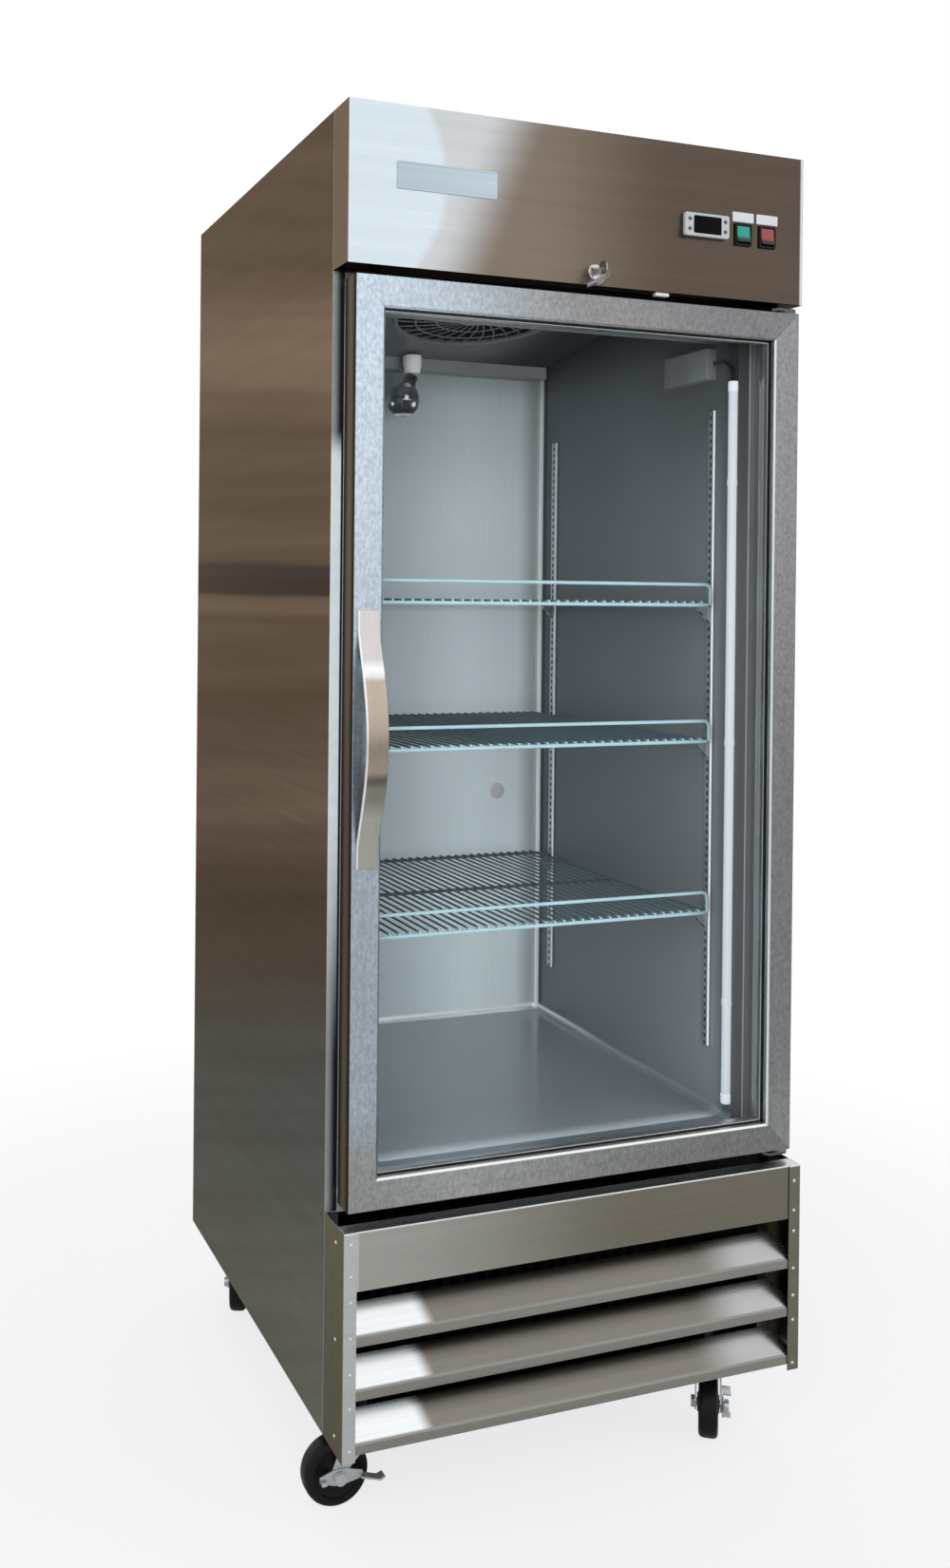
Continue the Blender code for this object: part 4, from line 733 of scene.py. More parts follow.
# %% [markdown]
# The cover over the cooling coil is a dull grey sheet. Less light reaches its right end, so it is painted
# darker there as shade, and the step at its back is painted paler, as lit.


# %% Cover sheet
def cover_finish():
    material, shader, place, (x, y, z) = new_finish("cover_grey", 0.0, 0.44)
    cloud = noise(place, (22.0, 22.0, 22.0), 4.0)
    # Painted shade towards the right end.
    dark = smooth(x, 0.08, 0.24)
    grey = mix(dark, rgb(0.085, 0.095, 0.102), rgb(0.014, 0.015, 0.017))
    # Painted light on the step at the back.
    step = smooth(y, COVER_BACK - 0.0425, COVER_BACK - 0.0412)
    grey = mix(step, grey, rgb(0.210, 0.228, 0.238))
    lead(scaled(grey, 0.86 + 0.28 * cloud), shader, "Base Color")
    lead(0.38 + 0.12 * cloud + 0.3 * dark, shader, "Roughness")
    ripple(noise(place, (420.0, 420.0, 420.0), 2.0), shader, 0.10, 0.0002)
    return material


COVER_GREY = cover_finish()
print("cover sheet made")

# %% [markdown]
# The lamp driver is one solid with its lead. Its box is grey and its lead is black, so a step along Y, at
# the front wall of the box, tells the finish which of the two it is on.


# %% Driver box and lead in one finish
def driver_finish():
    material, shader, place, (x, y, z) = new_finish("driver_box_and_lead", 0.0, 0.42)
    shader.inputs["Specular IOR Level"].default_value = 0.10
    box_mask = smooth(y, FACE + 0.0596, FACE + 0.0600)
    cloud = noise(place, (40.0, 40.0, 40.0), 3.0)
    grey = mix(cloud, rgb(0.080, 0.090, 0.097), rgb(0.140, 0.155, 0.163))
    lead(mix(box_mask, rgb(0.012, 0.012, 0.013), grey), shader, "Base Color")
    lead(0.36 + 0.10 * cloud, shader, "Roughness")
    ripple(cloud, shader, 0.05, 0.0004)
    return material


DRIVER = driver_finish()
print("driver box and lead made")


# %% [markdown]
# Now every solid piece gets its finish. That could be done by hand in the Material tab, but one short
# function does it for many pieces and leaves no old slot behind.


# %% Paint the solid pieces
def paint(material, *names):
    """Give solid pieces their finish."""
    for name in names:
        nodes[name].data.materials.clear()
        nodes[name].data.materials.append(material)


CASTERS = ("front_left", "front_right", "rear_left", "rear_right")
paint(SHEETS["side"], "left_side_panel")
paint(SHEETS["plain"], "right_side_panel", "top_panel")
paint(SHEETS["header"], "header_panel")
paint(SHEETS["rail"], "door_top_rail", "door_bottom_rail")
paint(SHEETS["stile"], "door_left_stile", "door_right_stile")
paint(SHEETS["handle"], "door_handle")
paint(SHEETS["grille"], "grille_top_band", "grille_left_bracket", "grille_right_bracket")
paint(SHEETS["louver"], "grille_louver_1", "grille_louver_2", "grille_louver_3")
paint(LINER, "inner_liner")
paint(GALVANISED, "rear_panel")
paint(FRONT_SLOTS, "left_front_standard", "right_front_standard")
paint(REAR_SLOTS, "left_rear_standard", "right_rear_standard")
paint(HINGE_STEEL, "upper_hinge_bracket", "lower_hinge_bracket")
paint(ZINC, "front_left_brake", "front_right_brake", *[name + "_fork" for name in CASTERS])
paint(CHROME, "lock_barrel")
paint(KEY_STEEL, "lock_key")
paint(ALUMINIUM, "evaporator_coil")
paint(SHADED_BLACK, "compressor", "condenser_coil", "condenser_motor", "base_plate")
paint(GUARD_GREY, "evaporator_fan_guard")
paint(BLACK_PLASTIC, "light_switch_frame", "power_switch_frame", "evaporator_fan", "condenser_fan")
paint(WHITE_PLASTIC, "lampholder")
paint(MILKY, "led_lamp")
paint(SILVER_PLASTIC, "temperature_controller")
paint(COVER_GREY, "evaporator_cover")
paint(GREEN, "light_rocker")
paint(RED, "power_rocker")
paint(COATED, "shelf_1", "shelf_2", "shelf_3")
paint(TYRE, *[name + "_wheel" for name in CASTERS])
paint(GASKET, "door_gasket")
paint(FOAM, "foam_insulation")
paint(PANE, "outer_pane", "inner_pane")
paint(BULB, "lamp_bulb")
paint(DRIVER, "led_driver")
print("all", len(nodes), "solid pieces are painted")

# %% [markdown]
# ## Floor, light and camera
# The refrigerator stands on a plain pale floor in soft light. A grey floor would need strong lamps to
# look white, so the camera is shown a white glow that fades in away from the feet, and the shadow stays.

# %% Pale floor
bpy.ops.object.select_all(action="DESELECT")
bpy.ops.mesh.primitive_plane_add(size=30.0, location=(0.0, 0.0, -0.001))
floor = bpy.context.object
floor.name = "pale_floor"
floor_finish, floor_shader, floor_place, floor_parts = new_finish("pale_floor", 0.0, 0.8)
speck = noise(floor_place, (3.0, 3.0, 3.0), 2.0)
lead(mix(speck, rgb(0.86, 0.86, 0.86), rgb(0.88, 0.88, 0.88)), floor_shader, "Base Color")
path = floor_place.node("ShaderNodeLightPath", out="Is Camera Ray")
glow = floor_place.node("ShaderNodeEmission", inputs={"Color": rgb(1.0, 1.0, 1.0), "Strength": 1.0})
principled = Wire(floor_place.tree, floor_shader.outputs[0])
far_off = floor_parts[0] * floor_parts[0] + floor_parts[1] * floor_parts[1]
white = path * (0.78 + 0.22 * smooth(far_off, 0.6, 4.0))
blend = floor_place.node("ShaderNodeMixShader", inputs={0: white, 1: principled, 2: glow})
output = floor_place.tree.nodes["Material Output"]
floor_place.tree.links.new(blend.socket, output.inputs["Surface"])
floor.data.materials.append(floor_finish)
floor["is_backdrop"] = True
print("floor is", round(floor.dimensions.x), "m wide")

# %% [markdown]
# A white world would light the refrigerator too strongly. Light Path tells which kind of ray asks, so the
# world shows full white to the camera, in gloss and through glass, and gives less of it as light.

# %% White surroundings
world = bpy.data.worlds.new("white_studio")
bpy.context.scene.world = world
world.use_nodes = True
sky = Wire(world.node_tree)
seen = sky.node("ShaderNodeLightPath", out="Is Camera Ray")
gloss = sky.node("ShaderNodeLightPath", out="Is Glossy Ray")
through = sky.node("ShaderNodeLightPath", out="Is Transmission Ray")
shown = seen.math("MAXIMUM", seen, gloss)
shown = shown.math("MAXIMUM", shown, through)
backdrop = world.node_tree.nodes["Background"]
backdrop.inputs["Color"].default_value = rgb(1.0, 1.0, 1.0)
level = 0.45 + 0.55 * shown
world.node_tree.links.new(level.socket, backdrop.inputs["Strength"])
print("surroundings are white")


# %% [markdown]
# Three large soft boxes stand at the left, at the right and above. A fourth, just behind the door glass,
# gives the cabinet the light that a real pane lets in. They stay at a plain level, so that finishes show
# about as written.


# %% Soft lamps
def soft_lamp(name, place, aim, size, power, mirrored=False):
    """A square soft box that faces a point. Only a mirrored one shows in gloss."""
    bpy.ops.object.light_add(type="AREA", location=place)
    lamp = bpy.context.object
    lamp.name = name
    lamp.data.shape = "SQUARE"
    lamp.data.size = size
    lamp.data.energy = power
    lamp.visible_glossy = mirrored
    lamp.rotation_euler = (Vector(aim) - Vector(place)).to_track_quat("-Z", "Y").to_euler()
    return lamp


soft_lamp("key_box", (-2.6, -3.6, 3.2), (0.0, 0.0, 1.1), 2.6, 90.0)
soft_lamp("fill_box", (3.4, -3.2, 2.4), (0.0, 0.0, 1.0), 2.6, 36.0)
soft_lamp("top_box", (0.0, 0.6, 4.6), (0.0, 0.0, 1.0), 3.0, 40.0)
door_box = soft_lamp("door_box", (0.0, FACE + 0.020, 1.11), (0.0, FACE + 1.0, 1.11), 0.57, 5.7)
door_box.data.shape = "RECTANGLE"
door_box.data.size_y = 1.22
door_box.visible_camera = False
print("three soft lamps outside, and one in the doorway for the light that the glass lets in")

# %% [markdown]
# The camera stands a little over two metres off the left front corner, at about chest height. It looks
# level and is shifted in its frame, as when a tall picture is cut from a wider one, so upright edges stay
# upright.

# %% Camera
YAW, PITCH, ROLL = math.radians(20.14), math.radians(-0.40), math.radians(0.52)
WIDE, TALL, SENSOR = 1000.0, 1650.0, 36.0
FOCUS, CENTRE_X, CENTRE_Y = 1496.7, 353.9, 643.0
ahead = Vector((math.sin(YAW) * math.cos(PITCH), math.cos(YAW) * math.cos(PITCH), math.sin(PITCH)))
level_right = Vector((math.cos(YAW), -math.sin(YAW), 0.0))
level_up = level_right.cross(ahead)
right = math.cos(ROLL) * level_right + math.sin(ROLL) * level_up
up = math.cos(ROLL) * level_up - math.sin(ROLL) * level_right
bpy.ops.object.camera_add(location=(-1.064, FACE - 1.895, EYE_LEVEL))
camera = bpy.context.object
camera.rotation_euler = Matrix((right, up, -ahead)).transposed().to_euler()
camera.data.sensor_width = SENSOR
camera.data.lens = FOCUS * SENSOR / TALL
camera.data.shift_x = (WIDE / 2 - CENTRE_X) / TALL
camera.data.shift_y = -(TALL / 2 - CENTRE_Y) / TALL
bpy.context.scene.camera = camera
bpy.context.scene.view_settings.view_transform = "Standard"
print("camera lens is", round(camera.data.lens, 2), "mm")

# %% [markdown]
# ## Tools of the bench
# New pieces are made as by hand: a primitive is shaped in edit mode and finished with modifiers. These
# helpers keep each step short. One picks a piece, one selects by place or normal, one applies a modifier,
# and one settles the finished piece on the body that carries it.


# %% Helpers for modelling
def begin():
    """Leave edit mode and deselect everything, so that an operator acts on the next piece alone."""
    if bpy.context.mode != "OBJECT":
        bpy.ops.object.mode_set(mode="OBJECT")
    bpy.ops.object.select_all(action="DESELECT")


def pick(piece):
    """Select one piece and make it active."""
    begin()
    piece.select_set(True)
    bpy.context.view_layer.objects.active = piece
    return piece


def choose(test, kind="FACE"):
    """In edit mode, select the faces, edges or points that pass a test."""
    bpy.ops.mesh.select_mode(type=kind)
    bpy.ops.mesh.select_all(action="DESELECT")
    mesh = bpy.context.object.data
    form = bmesh.from_edit_mesh(mesh)
    for part in {"FACE": form.faces, "EDGE": form.edges, "VERT": form.verts}[kind]:
        if test(part):
            part.select_set(True)
    bmesh.update_edit_mesh(mesh)


def use(piece, kind, **settings):
    """Add a modifier to a piece and apply it."""
    pick(piece)
    modifier = piece.modifiers.new(kind.title(), kind)
    for key, value in settings.items():
        setattr(modifier, key, value)
    bpy.ops.object.modifier_apply(modifier=modifier.name)


def joined(pieces):
    """Several pieces as one."""
    pick(pieces[0])
    for piece in pieces[1:]:
        piece.select_set(True)
    bpy.ops.object.join()
    return pieces[0]


def copied(piece, place):
    """A copy with its own mesh, moved or turned by a matrix."""
    copy = piece.copy()
    copy.data = piece.data.copy()
    copy.data.transform(place)
    bpy.context.collection.objects.link(copy)
    return copy


def repeated(piece, places):
    """Copies of a small piece at several places, joined, in place of the first."""
    copies = [copied(piece, place) for place in places]
    bpy.data.objects.remove(piece)
    return joined(copies)


def settle(piece, name, finish, body, angle=35.0):
    """Fix a piece's place in its mesh, shade it smooth up to an angle, and give it a finish and a body."""
    pick(piece)
    bpy.ops.object.transform_apply(location=True, rotation=True, scale=True)
    bpy.ops.object.shade_smooth_by_angle(angle=math.radians(angle))
    piece.name = name
    piece.data.name = name
    piece.data.materials.clear()
    piece.data.materials.append(finish)
    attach(piece, body)
    print(name, "has", len(piece.data.polygons), "faces and rides on", body)


print("the bench is ready")


# %% [markdown]
# Flat pieces start from a cube or a plane. A bevel on chosen edges rounds them, and an inset with its
# middle removed makes a ring. Each could also be cut with booleans, but these keep the faces clean.


# %% Blocks, plates and rings
def block(low, high):
    """A block between two corners, to start from."""
    low, high = Vector(low), Vector(high)
    begin()
    bpy.ops.mesh.primitive_cube_add(size=1.0, location=(low + high) / 2)
    piece = bpy.context.object
    piece.scale = high - low
    bpy.ops.object.transform_apply(location=True, rotation=True, scale=True)
    return piece


def plate(low, high, corner, edge=0.0004):
    """A thin upright plate: its corners are rounded, then its front edge gets a fine bevel."""
    piece = block(low, high)
    bpy.ops.object.mode_set(mode="EDIT")
    choose(lambda line: abs(line.verts[0].co.y - line.verts[1].co.y) > 1e-6, "EDGE")
    bpy.ops.mesh.bevel(offset=corner, segments=5)
    choose(lambda face: face.normal.y < -0.9)
    bpy.ops.mesh.bevel(offset=edge, segments=2)
    begin()
    return piece


def upright_ring(low, high, width):
    """A flat rectangular ring: a plane is inset, its middle removed, and the rest drawn out in depth."""
    low, high = Vector(low), Vector(high)
    middle = (low + high) / 2
    begin()
    turn = (math.pi / 2, 0.0, 0.0)
    bpy.ops.mesh.primitive_plane_add(size=1.0, location=(middle.x, low.y, middle.z), rotation=turn)
    piece = bpy.context.object
    piece.scale = (high.x - low.x, high.z - low.z, 1.0)
    bpy.ops.object.transform_apply(location=True, rotation=True, scale=True)
    bpy.ops.object.mode_set(mode="EDIT")
    bpy.ops.mesh.select_all(action="SELECT")
    bpy.ops.mesh.inset(thickness=width)
    bpy.ops.mesh.delete(type="FACE")
    bpy.ops.mesh.select_all(action="SELECT")
    bpy.ops.mesh.extrude_region_move(TRANSFORM_OT_translate={"value": (0.0, high.y - low.y, 0.0)})
    bpy.ops.mesh.select_all(action="SELECT")
    bpy.ops.mesh.normals_make_consistent(inside=False)
    begin()
    return piece


print("blocks, plates and rings can be made")


# %% [markdown]
# Wire and turned pieces start from a line of points. A curve with a bevel makes round wire of it, and
# Spin turns it round an axis, as on a lathe.


# %% Drawn, bent and turned shapes
def draw_out(route):
    """A line of edges: a small plane is merged to one point, which is extruded from place to place."""
    begin()
    bpy.ops.mesh.primitive_plane_add(size=0.001, location=route[0])
    bpy.ops.object.mode_set(mode="EDIT")
    bpy.ops.mesh.select_mode(type="VERT")
    bpy.ops.mesh.select_all(action="SELECT")
    bpy.ops.mesh.merge(type="CENTER")
    for start, stop in zip(route, route[1:]):
        step = Vector(stop) - Vector(start)
        bpy.ops.mesh.extrude_region_move(TRANSFORM_OT_translate={"value": step})
    bpy.ops.mesh.select_all(action="SELECT")
    bpy.ops.mesh.remove_doubles(threshold=1e-5)


def bent_wire(route, radius, corner=0.0):
    """Round wire along a route. A route that ends where it starts makes a closed ring."""
    draw_out(route)
    if corner:
        choose(lambda point: len(point.link_edges) == 2, "VERT")
        bpy.ops.mesh.bevel(offset=corner, segments=5, affect="VERTICES")
    bpy.ops.object.mode_set(mode="OBJECT")
    bpy.ops.object.convert(target="CURVE")
    line = bpy.context.object.data
    line.bevel_depth = radius
    line.bevel_resolution = 2
    line.use_fill_caps = True
    bpy.ops.object.convert(target="MESH")
    wire = pick(bpy.context.object)
    bpy.ops.object.transform_apply(location=True, rotation=True, scale=True)
    return wire


def turned(profile, steps=40):
    """A turned piece: a line of (radius, height) points is spun round the Z axis."""
    draw_out([(radius, 0.0, height) for radius, height in profile])
    bpy.ops.mesh.spin(steps=steps, angle=2 * math.pi, center=(0.0, 0.0, 0.0), axis=(0.0, 0.0, 1.0))
    bpy.ops.mesh.select_all(action="SELECT")
    bpy.ops.mesh.remove_doubles(threshold=1e-5)
    bpy.ops.mesh.normals_make_consistent(inside=False)
    piece = pick(bpy.context.object)
    bpy.ops.object.transform_apply(location=True, rotation=True, scale=True)
    return piece


def facing(point, way):
    """A place at a point, its Z axis turned towards a direction."""
    turn = Vector((0.0, 0.0, 1.0)).rotation_difference(Vector(way))
    return Matrix.Translation(point) @ turn.to_matrix().to_4x4()


print("wire and turned pieces can be made")

# %% [markdown]
# ## Wire shelves
# A shelf is a frame of thick wire with a bar across the middle, many thin wires welded on top, and a
# raised rail at the front. The solid shelves have square wires. Here each wire is round, one thin wire is
# repeated with an Array, and the second and third shelf are copies of the first.

# %% Three wire shelves
shelf_low, shelf_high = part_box("shelf_1")
THICK, THIN, RAIL, WIRES = 0.0030, 0.0018, 0.0028, 35
WELD, OVERHANG = 0.0071, 0.0015
west, east = shelf_low.x + THICK, shelf_high.x - THICK
near, far = shelf_low.y + THICK, shelf_high.y - THICK
middle = (near + far) / 2
bar_z, wire_z, rail_z = shelf_low.z + THICK, shelf_low.z + WELD, shelf_high.z - THICK
front_middle = [(0.0, near, bar_z)]
corners = [(east, near, bar_z), (east, far, bar_z), (west, far, bar_z), (west, near, bar_z)]
shelf_frame = bent_wire(front_middle + corners + front_middle, THICK, 0.008)
cross_bar = bent_wire([(west, middle, bar_z), (east, middle, bar_z)], THICK)
rail_route = [(west, near, bar_z), (west, near, rail_z), (east, near, rail_z), (east, near, bar_z)]
front_rail = bent_wire(rail_route, RAIL, 0.010)
pitch = (east - west) / (WIRES + 1)
first = west + pitch
thin = bent_wire([(first, near - OVERHANG, wire_z), (first, far + OVERHANG, wire_z)], THIN)
use(thin, "ARRAY", count=WIRES, use_relative_offset=False, use_constant_offset=True,
    constant_offset_displace=(pitch, 0.0, 0.0))
wire_shelf = joined([shelf_frame, cross_bar, front_rail, thin])
for number in (2, 3):
    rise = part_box("shelf_%d" % number)[0].z - shelf_low.z
    higher = copied(wire_shelf, Matrix.Translation((0.0, 0.0, rise)))
    settle(higher, "wire_shelf_%d" % number, COATED, "shelf_%d_body" % number, 60.0)
    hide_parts("shelf_%d" % number)
settle(wire_shelf, "wire_shelf_1", COATED, "shelf_1_body", 60.0)
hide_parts("shelf_1")

# %% [markdown]
# ## Door handle
# The handle is a strap of steel, bowed away from the door between two flat feet. A line along the bow is
# drawn out to a ribbon, thickened, and its edges rolled with a bevel.

# %% Bowed strap handle
grip_low, grip_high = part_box("door_handle")
STRAP, FOOT = 0.005, 0.030
bow = grip_high.y - grip_low.y
strap_route = [(grip_low.x, grip_high.y, grip_low.z)]
for step in range(33):
    t = step / 32
    rise = (bow - STRAP) * math.sin(math.pi * t) ** 1.15
    height = grip_low.z + FOOT + t * (grip_high.z - grip_low.z - 2 * FOOT)
    strap_route.append((grip_low.x, grip_high.y - rise, height))
strap_route.append((grip_low.x, grip_high.y, grip_high.z))
draw_out(strap_route)
bpy.ops.mesh.extrude_region_move(TRANSFORM_OT_translate={"value": (grip_high.x - grip_low.x, 0.0, 0.0)})
bpy.ops.mesh.select_all(action="SELECT")
bpy.ops.mesh.normals_make_consistent(inside=False)
strap = pick(bpy.context.object)
bpy.ops.object.transform_apply(location=True, rotation=True, scale=True)
outwards = 1.0 if strap.data.polygons[0].normal.y < 0 else -1.0
use(strap, "SOLIDIFY", thickness=STRAP, offset=outwards)
use(strap, "BEVEL", width=0.0014, segments=3, limit_method="ANGLE", angle_limit=math.radians(50))
settle(strap, "bowed_handle", SHEETS["handle"], "door", 40.0)
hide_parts("door_handle")

# %% [markdown]
# ## Between the panes
# Two panes are held apart by a bright metal spacer, and a dark sealing bead hides its edge. Both are
# rings that follow the glass, a little wider than the lip of the door frame, so that a narrow line of
# each shows.

# %% Spacer and bead
SPACER, BEAD_WIDTH = 0.0140, 0.0128
spacer_low = (pane_low.x, pane_high.y + 0.0006, pane_low.z)
spacer_high = (pane_high.x, back_pane_low.y - 0.0003, pane_high.z)
spacer = upright_ring(spacer_low, spacer_high, SPACER)
use(spacer, "BEVEL", width=0.0006, segments=2, limit_method="ANGLE", angle_limit=math.radians(50))
settle(spacer, "pane_spacer", ALUMINIUM, "door")
bead_low = (pane_low.x, pane_high.y + 0.0001, pane_low.z)
bead_high = (pane_high.x, pane_high.y + 0.0005, pane_high.z)
bead = upright_ring(bead_low, bead_high, BEAD_WIDTH)
settle(bead, "sealing_bead", BEAD, "door")

# %% [markdown]
# ## Caster wheels
# The solid wheels have flat facets. A real wheel is turned: a hub that stands proud, a dished side and a
# tread with rounded shoulders. Half of the profile is written down, and its mirror image makes the other
# half.

# %% Four wheels
rim = [(0.0064, 0.0170), (0.0125, 0.0170), (0.0140, 0.0162), (0.0155, 0.0130), (0.0180, 0.0118)]
rim += [(0.0320, 0.0112), (0.0345, 0.0122), (0.0360, 0.0146), (0.0400, 0.0150), (0.0440, 0.0146)]
rim += [(0.0472, 0.0128), (0.0487, 0.0100), (0.0493, 0.0060)]
profile = [(radius, -height) for radius, height in rim] + rim[::-1] + [(rim[0][0], -rim[0][1])]
for caster in CASTERS:
    roll = joints[caster + "_roll"]
    wheel = turned(profile, 56)
    wheel.data.transform(facing(roll["pos_m"], roll["axis"]))
    settle(wheel, caster + "_tyre", TYRE, caster + "_wheel_body", 28.0)
    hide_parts(caster + "_wheel")

# %% [markdown]
# ## Fan guard and motor
# Under the sloping cover sits a round guard: a rolled rim, curved ribs and two hoops, with the motor cap
# in the middle. One rib is bent from wire and repeated round the axis of the fan.

# %% Round guard
fan = joints["evaporator_fan_spin"]
RIBS, HUB = 30, 0.036
guard_rim = [(0.148, -0.0003), (0.148, -0.0030), (0.1450, -0.0056), (0.1415, -0.0056), (0.1390, -0.0030)]
guard_rim += [(0.1390, -0.0003), (0.148, -0.0003)]
guard = [turned(guard_rim, 72)]
for radius in (0.108, 0.072):
    turns = [2 * math.pi * step / 48 for step in range(49)]
    hoop = [(radius * math.cos(turn), radius * math.sin(turn), -0.0040) for turn in turns]
    guard.append(bent_wire(hoop, 0.0014))
rib_route = []
for step in range(7):
    reach = 0.033 + step * 0.018
    turn = 0.05 * step
    rib_route.append((reach * math.cos(turn), reach * math.sin(turn), -0.0030))
spin = [Matrix.Rotation(2 * math.pi * step / RIBS, 4, "Z") for step in range(RIBS)]
guard.append(repeated(bent_wire(rib_route, 0.0013), spin))
cap = [(0.0, -0.0070), (0.029, -0.0070), (0.0335, -0.0060), (HUB, -0.0030), (HUB, 0.036), (0.0, 0.036)]
guard.append(turned(cap, 40))
guard.append(turned([(0.0, 0.030), (0.004, 0.030), (0.004, 0.050), (0.0, 0.050)], 16))
round_guard = joined(guard)
round_guard.data.transform(facing(fan["pos_m"], fan["axis"]))
settle(round_guard, "round_fan_guard", GUARD_GREY, "cabinet", 40.0)
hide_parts("evaporator_fan_guard")

# %% [markdown]
# ## Lamp
# A white holder hangs under the cover and a clear round bulb leans out of it. Both are turned: the holder
# from a few points, the bulb from a neck and an arc, with a bright collar where they meet.

# %% Holder, collar and bulb
holder_low, holder_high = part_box("lampholder")
lamp_x, lamp_y = (holder_low.x + holder_high.x) / 2, (holder_low.y + holder_high.y) / 2
cup = [(0.0, 0.0), (0.0165, 0.0), (0.0180, -0.0015), (0.0180, -0.0200), (0.0172, -0.0225)]
cup += [(0.0160, -0.0255), (0.0160, -0.0320), (0.0146, -0.0340), (0.0, -0.0340)]
holder = turned(cup, 36)
holder.data.transform(Matrix.Translation((lamp_x, lamp_y, holder_high.z)))
settle(holder, "round_lampholder", WHITE_PLASTIC, "cabinet")
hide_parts("lampholder")
LEAN, NECK = math.radians(21.0), 0.050
bulb_z = holder_low.z - 0.012 * math.sin(LEAN) - 0.0003
bulb_place = Matrix.Translation((lamp_x, lamp_y, bulb_z)) @ Matrix.Rotation(math.pi + LEAN, 4, "Y")
ball = [(0.0, 0.0), (0.0105, 0.0), (0.0120, 0.0010), (0.0122, 0.0110), (0.0134, 0.0165), (0.0170, 0.0220)]
arc = [math.radians(45.0 + 9.0 * step) for step in range(15)]
ball += [(BALL * math.sin(turn), NECK - BALL * math.cos(turn)) for turn in arc] + [(0.0, NECK + BALL)]
bulb = turned(ball, 40)
bulb.data.transform(bulb_place)
settle(bulb, "round_bulb", BULB, "cabinet")
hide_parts("lamp_bulb")
ring = [(0.0124, 0.0006), (0.0134, 0.0010), (0.0134, 0.0125), (0.0124, 0.0130), (0.0124, 0.0006)]
collar = turned(ring, 32)
collar.data.transform(bulb_place)
settle(collar, "bulb_collar", CHROME, "cabinet")

# %% [markdown]
# ## Strip lamp
# The strip lamp by the door is a milky tube with a flat back, white end caps and small clips. Each is a
# block whose two inner edges are rounded until the front is a half circle.


# %% Milky tube, caps and clips
def half_round(low, high, edge=0.0):
    """A block with its two edges towards -X rounded, and a fine bevel on its ends if asked."""
    piece = block(low, high)
    bpy.ops.object.mode_set(mode="EDIT")

    def inner(line):
        return all(abs(point.co.x - low[0]) < 1e-5 for point in line.verts) and abs(
            line.verts[0].co.z - line.verts[1].co.z) > 1e-4

    choose(inner, "EDGE")
    bpy.ops.mesh.bevel(offset=0.48 * (high[1] - low[1]), segments=8)
    if edge:
        choose(lambda face: abs(face.normal.z) > 0.9)
        bpy.ops.mesh.bevel(offset=edge, segments=3)
    begin()
    return piece


tube_low, tube_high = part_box("led_lamp")
tube = half_round(tube_low, tube_high)
settle(tube, "milky_tube", MILKY, "cabinet")
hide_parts("led_lamp")
ends = []
for start, stop in ((tube_low.z - 0.0004, tube_low.z + 0.017), (tube_high.z - 0.017, tube_high.z + 0.0002)):
    low = Vector((tube_low.x - 0.0006, tube_low.y - 0.0006, start))
    high = Vector((tube_high.x, tube_high.y + 0.0006, stop))
    ends.append(half_round(low, high, 0.0022))
settle(joined(ends), "tube_end_caps", CAP_WHITE, "cabinet")
clips = []
for share in (0.14, 0.5, 0.86):
    z = tube_low.z + share * (tube_high.z - tube_low.z)
    low = Vector((tube_low.x - 0.0008, tube_low.y - 0.0008, z - 0.005))
    high = Vector((tube_high.x, tube_high.y + 0.0008, z + 0.005))
    clips.append(half_round(low, high, 0.0003))
settle(joined(clips), "tube_clips", MILKY, "cabinet")

# %% [markdown]
# ## Controls
# The header carries a plain plate, two small plain labels over the switches, and a controller with a dark
# window and four keys. All plates are bare. A border pressed into the large one is made with two insets.

# %% Plates, window and keys
PLATE_LEFT, PLATE_RIGHT, PLATE_FOOT, PLATE_TOP = -0.306, -0.151, 1.892, 1.931
LABEL_FOOT, LABEL_TOP, OFF = 1.9015, 1.9165, 0.0001
plate_low = (PLATE_LEFT, HEAD_FRONT - 0.0013, PLATE_FOOT)
name_plate = plate(plate_low, (PLATE_RIGHT, HEAD_FRONT - OFF, PLATE_TOP), 0.0025)
pick(name_plate)
bpy.ops.object.mode_set(mode="EDIT")
choose(lambda face: face.normal.y < -0.99 and face.calc_area() > 0.001)
bpy.ops.mesh.inset(thickness=0.0016)
bpy.ops.mesh.inset(thickness=0.0005, depth=-0.0002)
settle(name_plate, "bare_plate", PLATE_SILVER, "cabinet", 8.0)
for name, left_x, right_x in (("light_label", 0.2487, 0.2869), ("power_label", 0.2921, 0.3308)):
    label_low = (left_x, HEAD_FRONT - 0.0010, LABEL_FOOT)
    label = plate(label_low, (right_x, HEAD_FRONT - OFF, LABEL_TOP), 0.0012)
    settle(label, name, LABEL, "cabinet", 8.0)
bezel_low, bezel_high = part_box("temperature_controller")
bezel_x, bezel_z = (bezel_low.x + bezel_high.x) / 2, (bezel_low.z + bezel_high.z) / 2
window_low = (bezel_x - 0.0240, bezel_low.y - 0.0008, bezel_z - 0.0132)
window_high = (bezel_x + 0.0246, bezel_low.y - OFF, bezel_z + 0.0132)
window = plate(window_low, window_high, 0.0018, 0.0003)
settle(window, "dark_window", DISPLAY, "cabinet", 25.0)
key = turned([(0.0, 0.0012), (0.0018, 0.0011), (0.0026, 0.0007), (0.0029, 0.0001), (0.0, 0.0001)], 20)
spots = [(-0.0312, 0.0075), (-0.0312, -0.0075), (0.0318, 0.0075), (0.0318, -0.0075)]
keys = [facing((bezel_x + x, bezel_low.y, bezel_z + z), (0.0, -1.0, 0.0)) for x, z in spots]
settle(repeated(key, keys), "controller_keys", KEY_GREY, "cabinet")

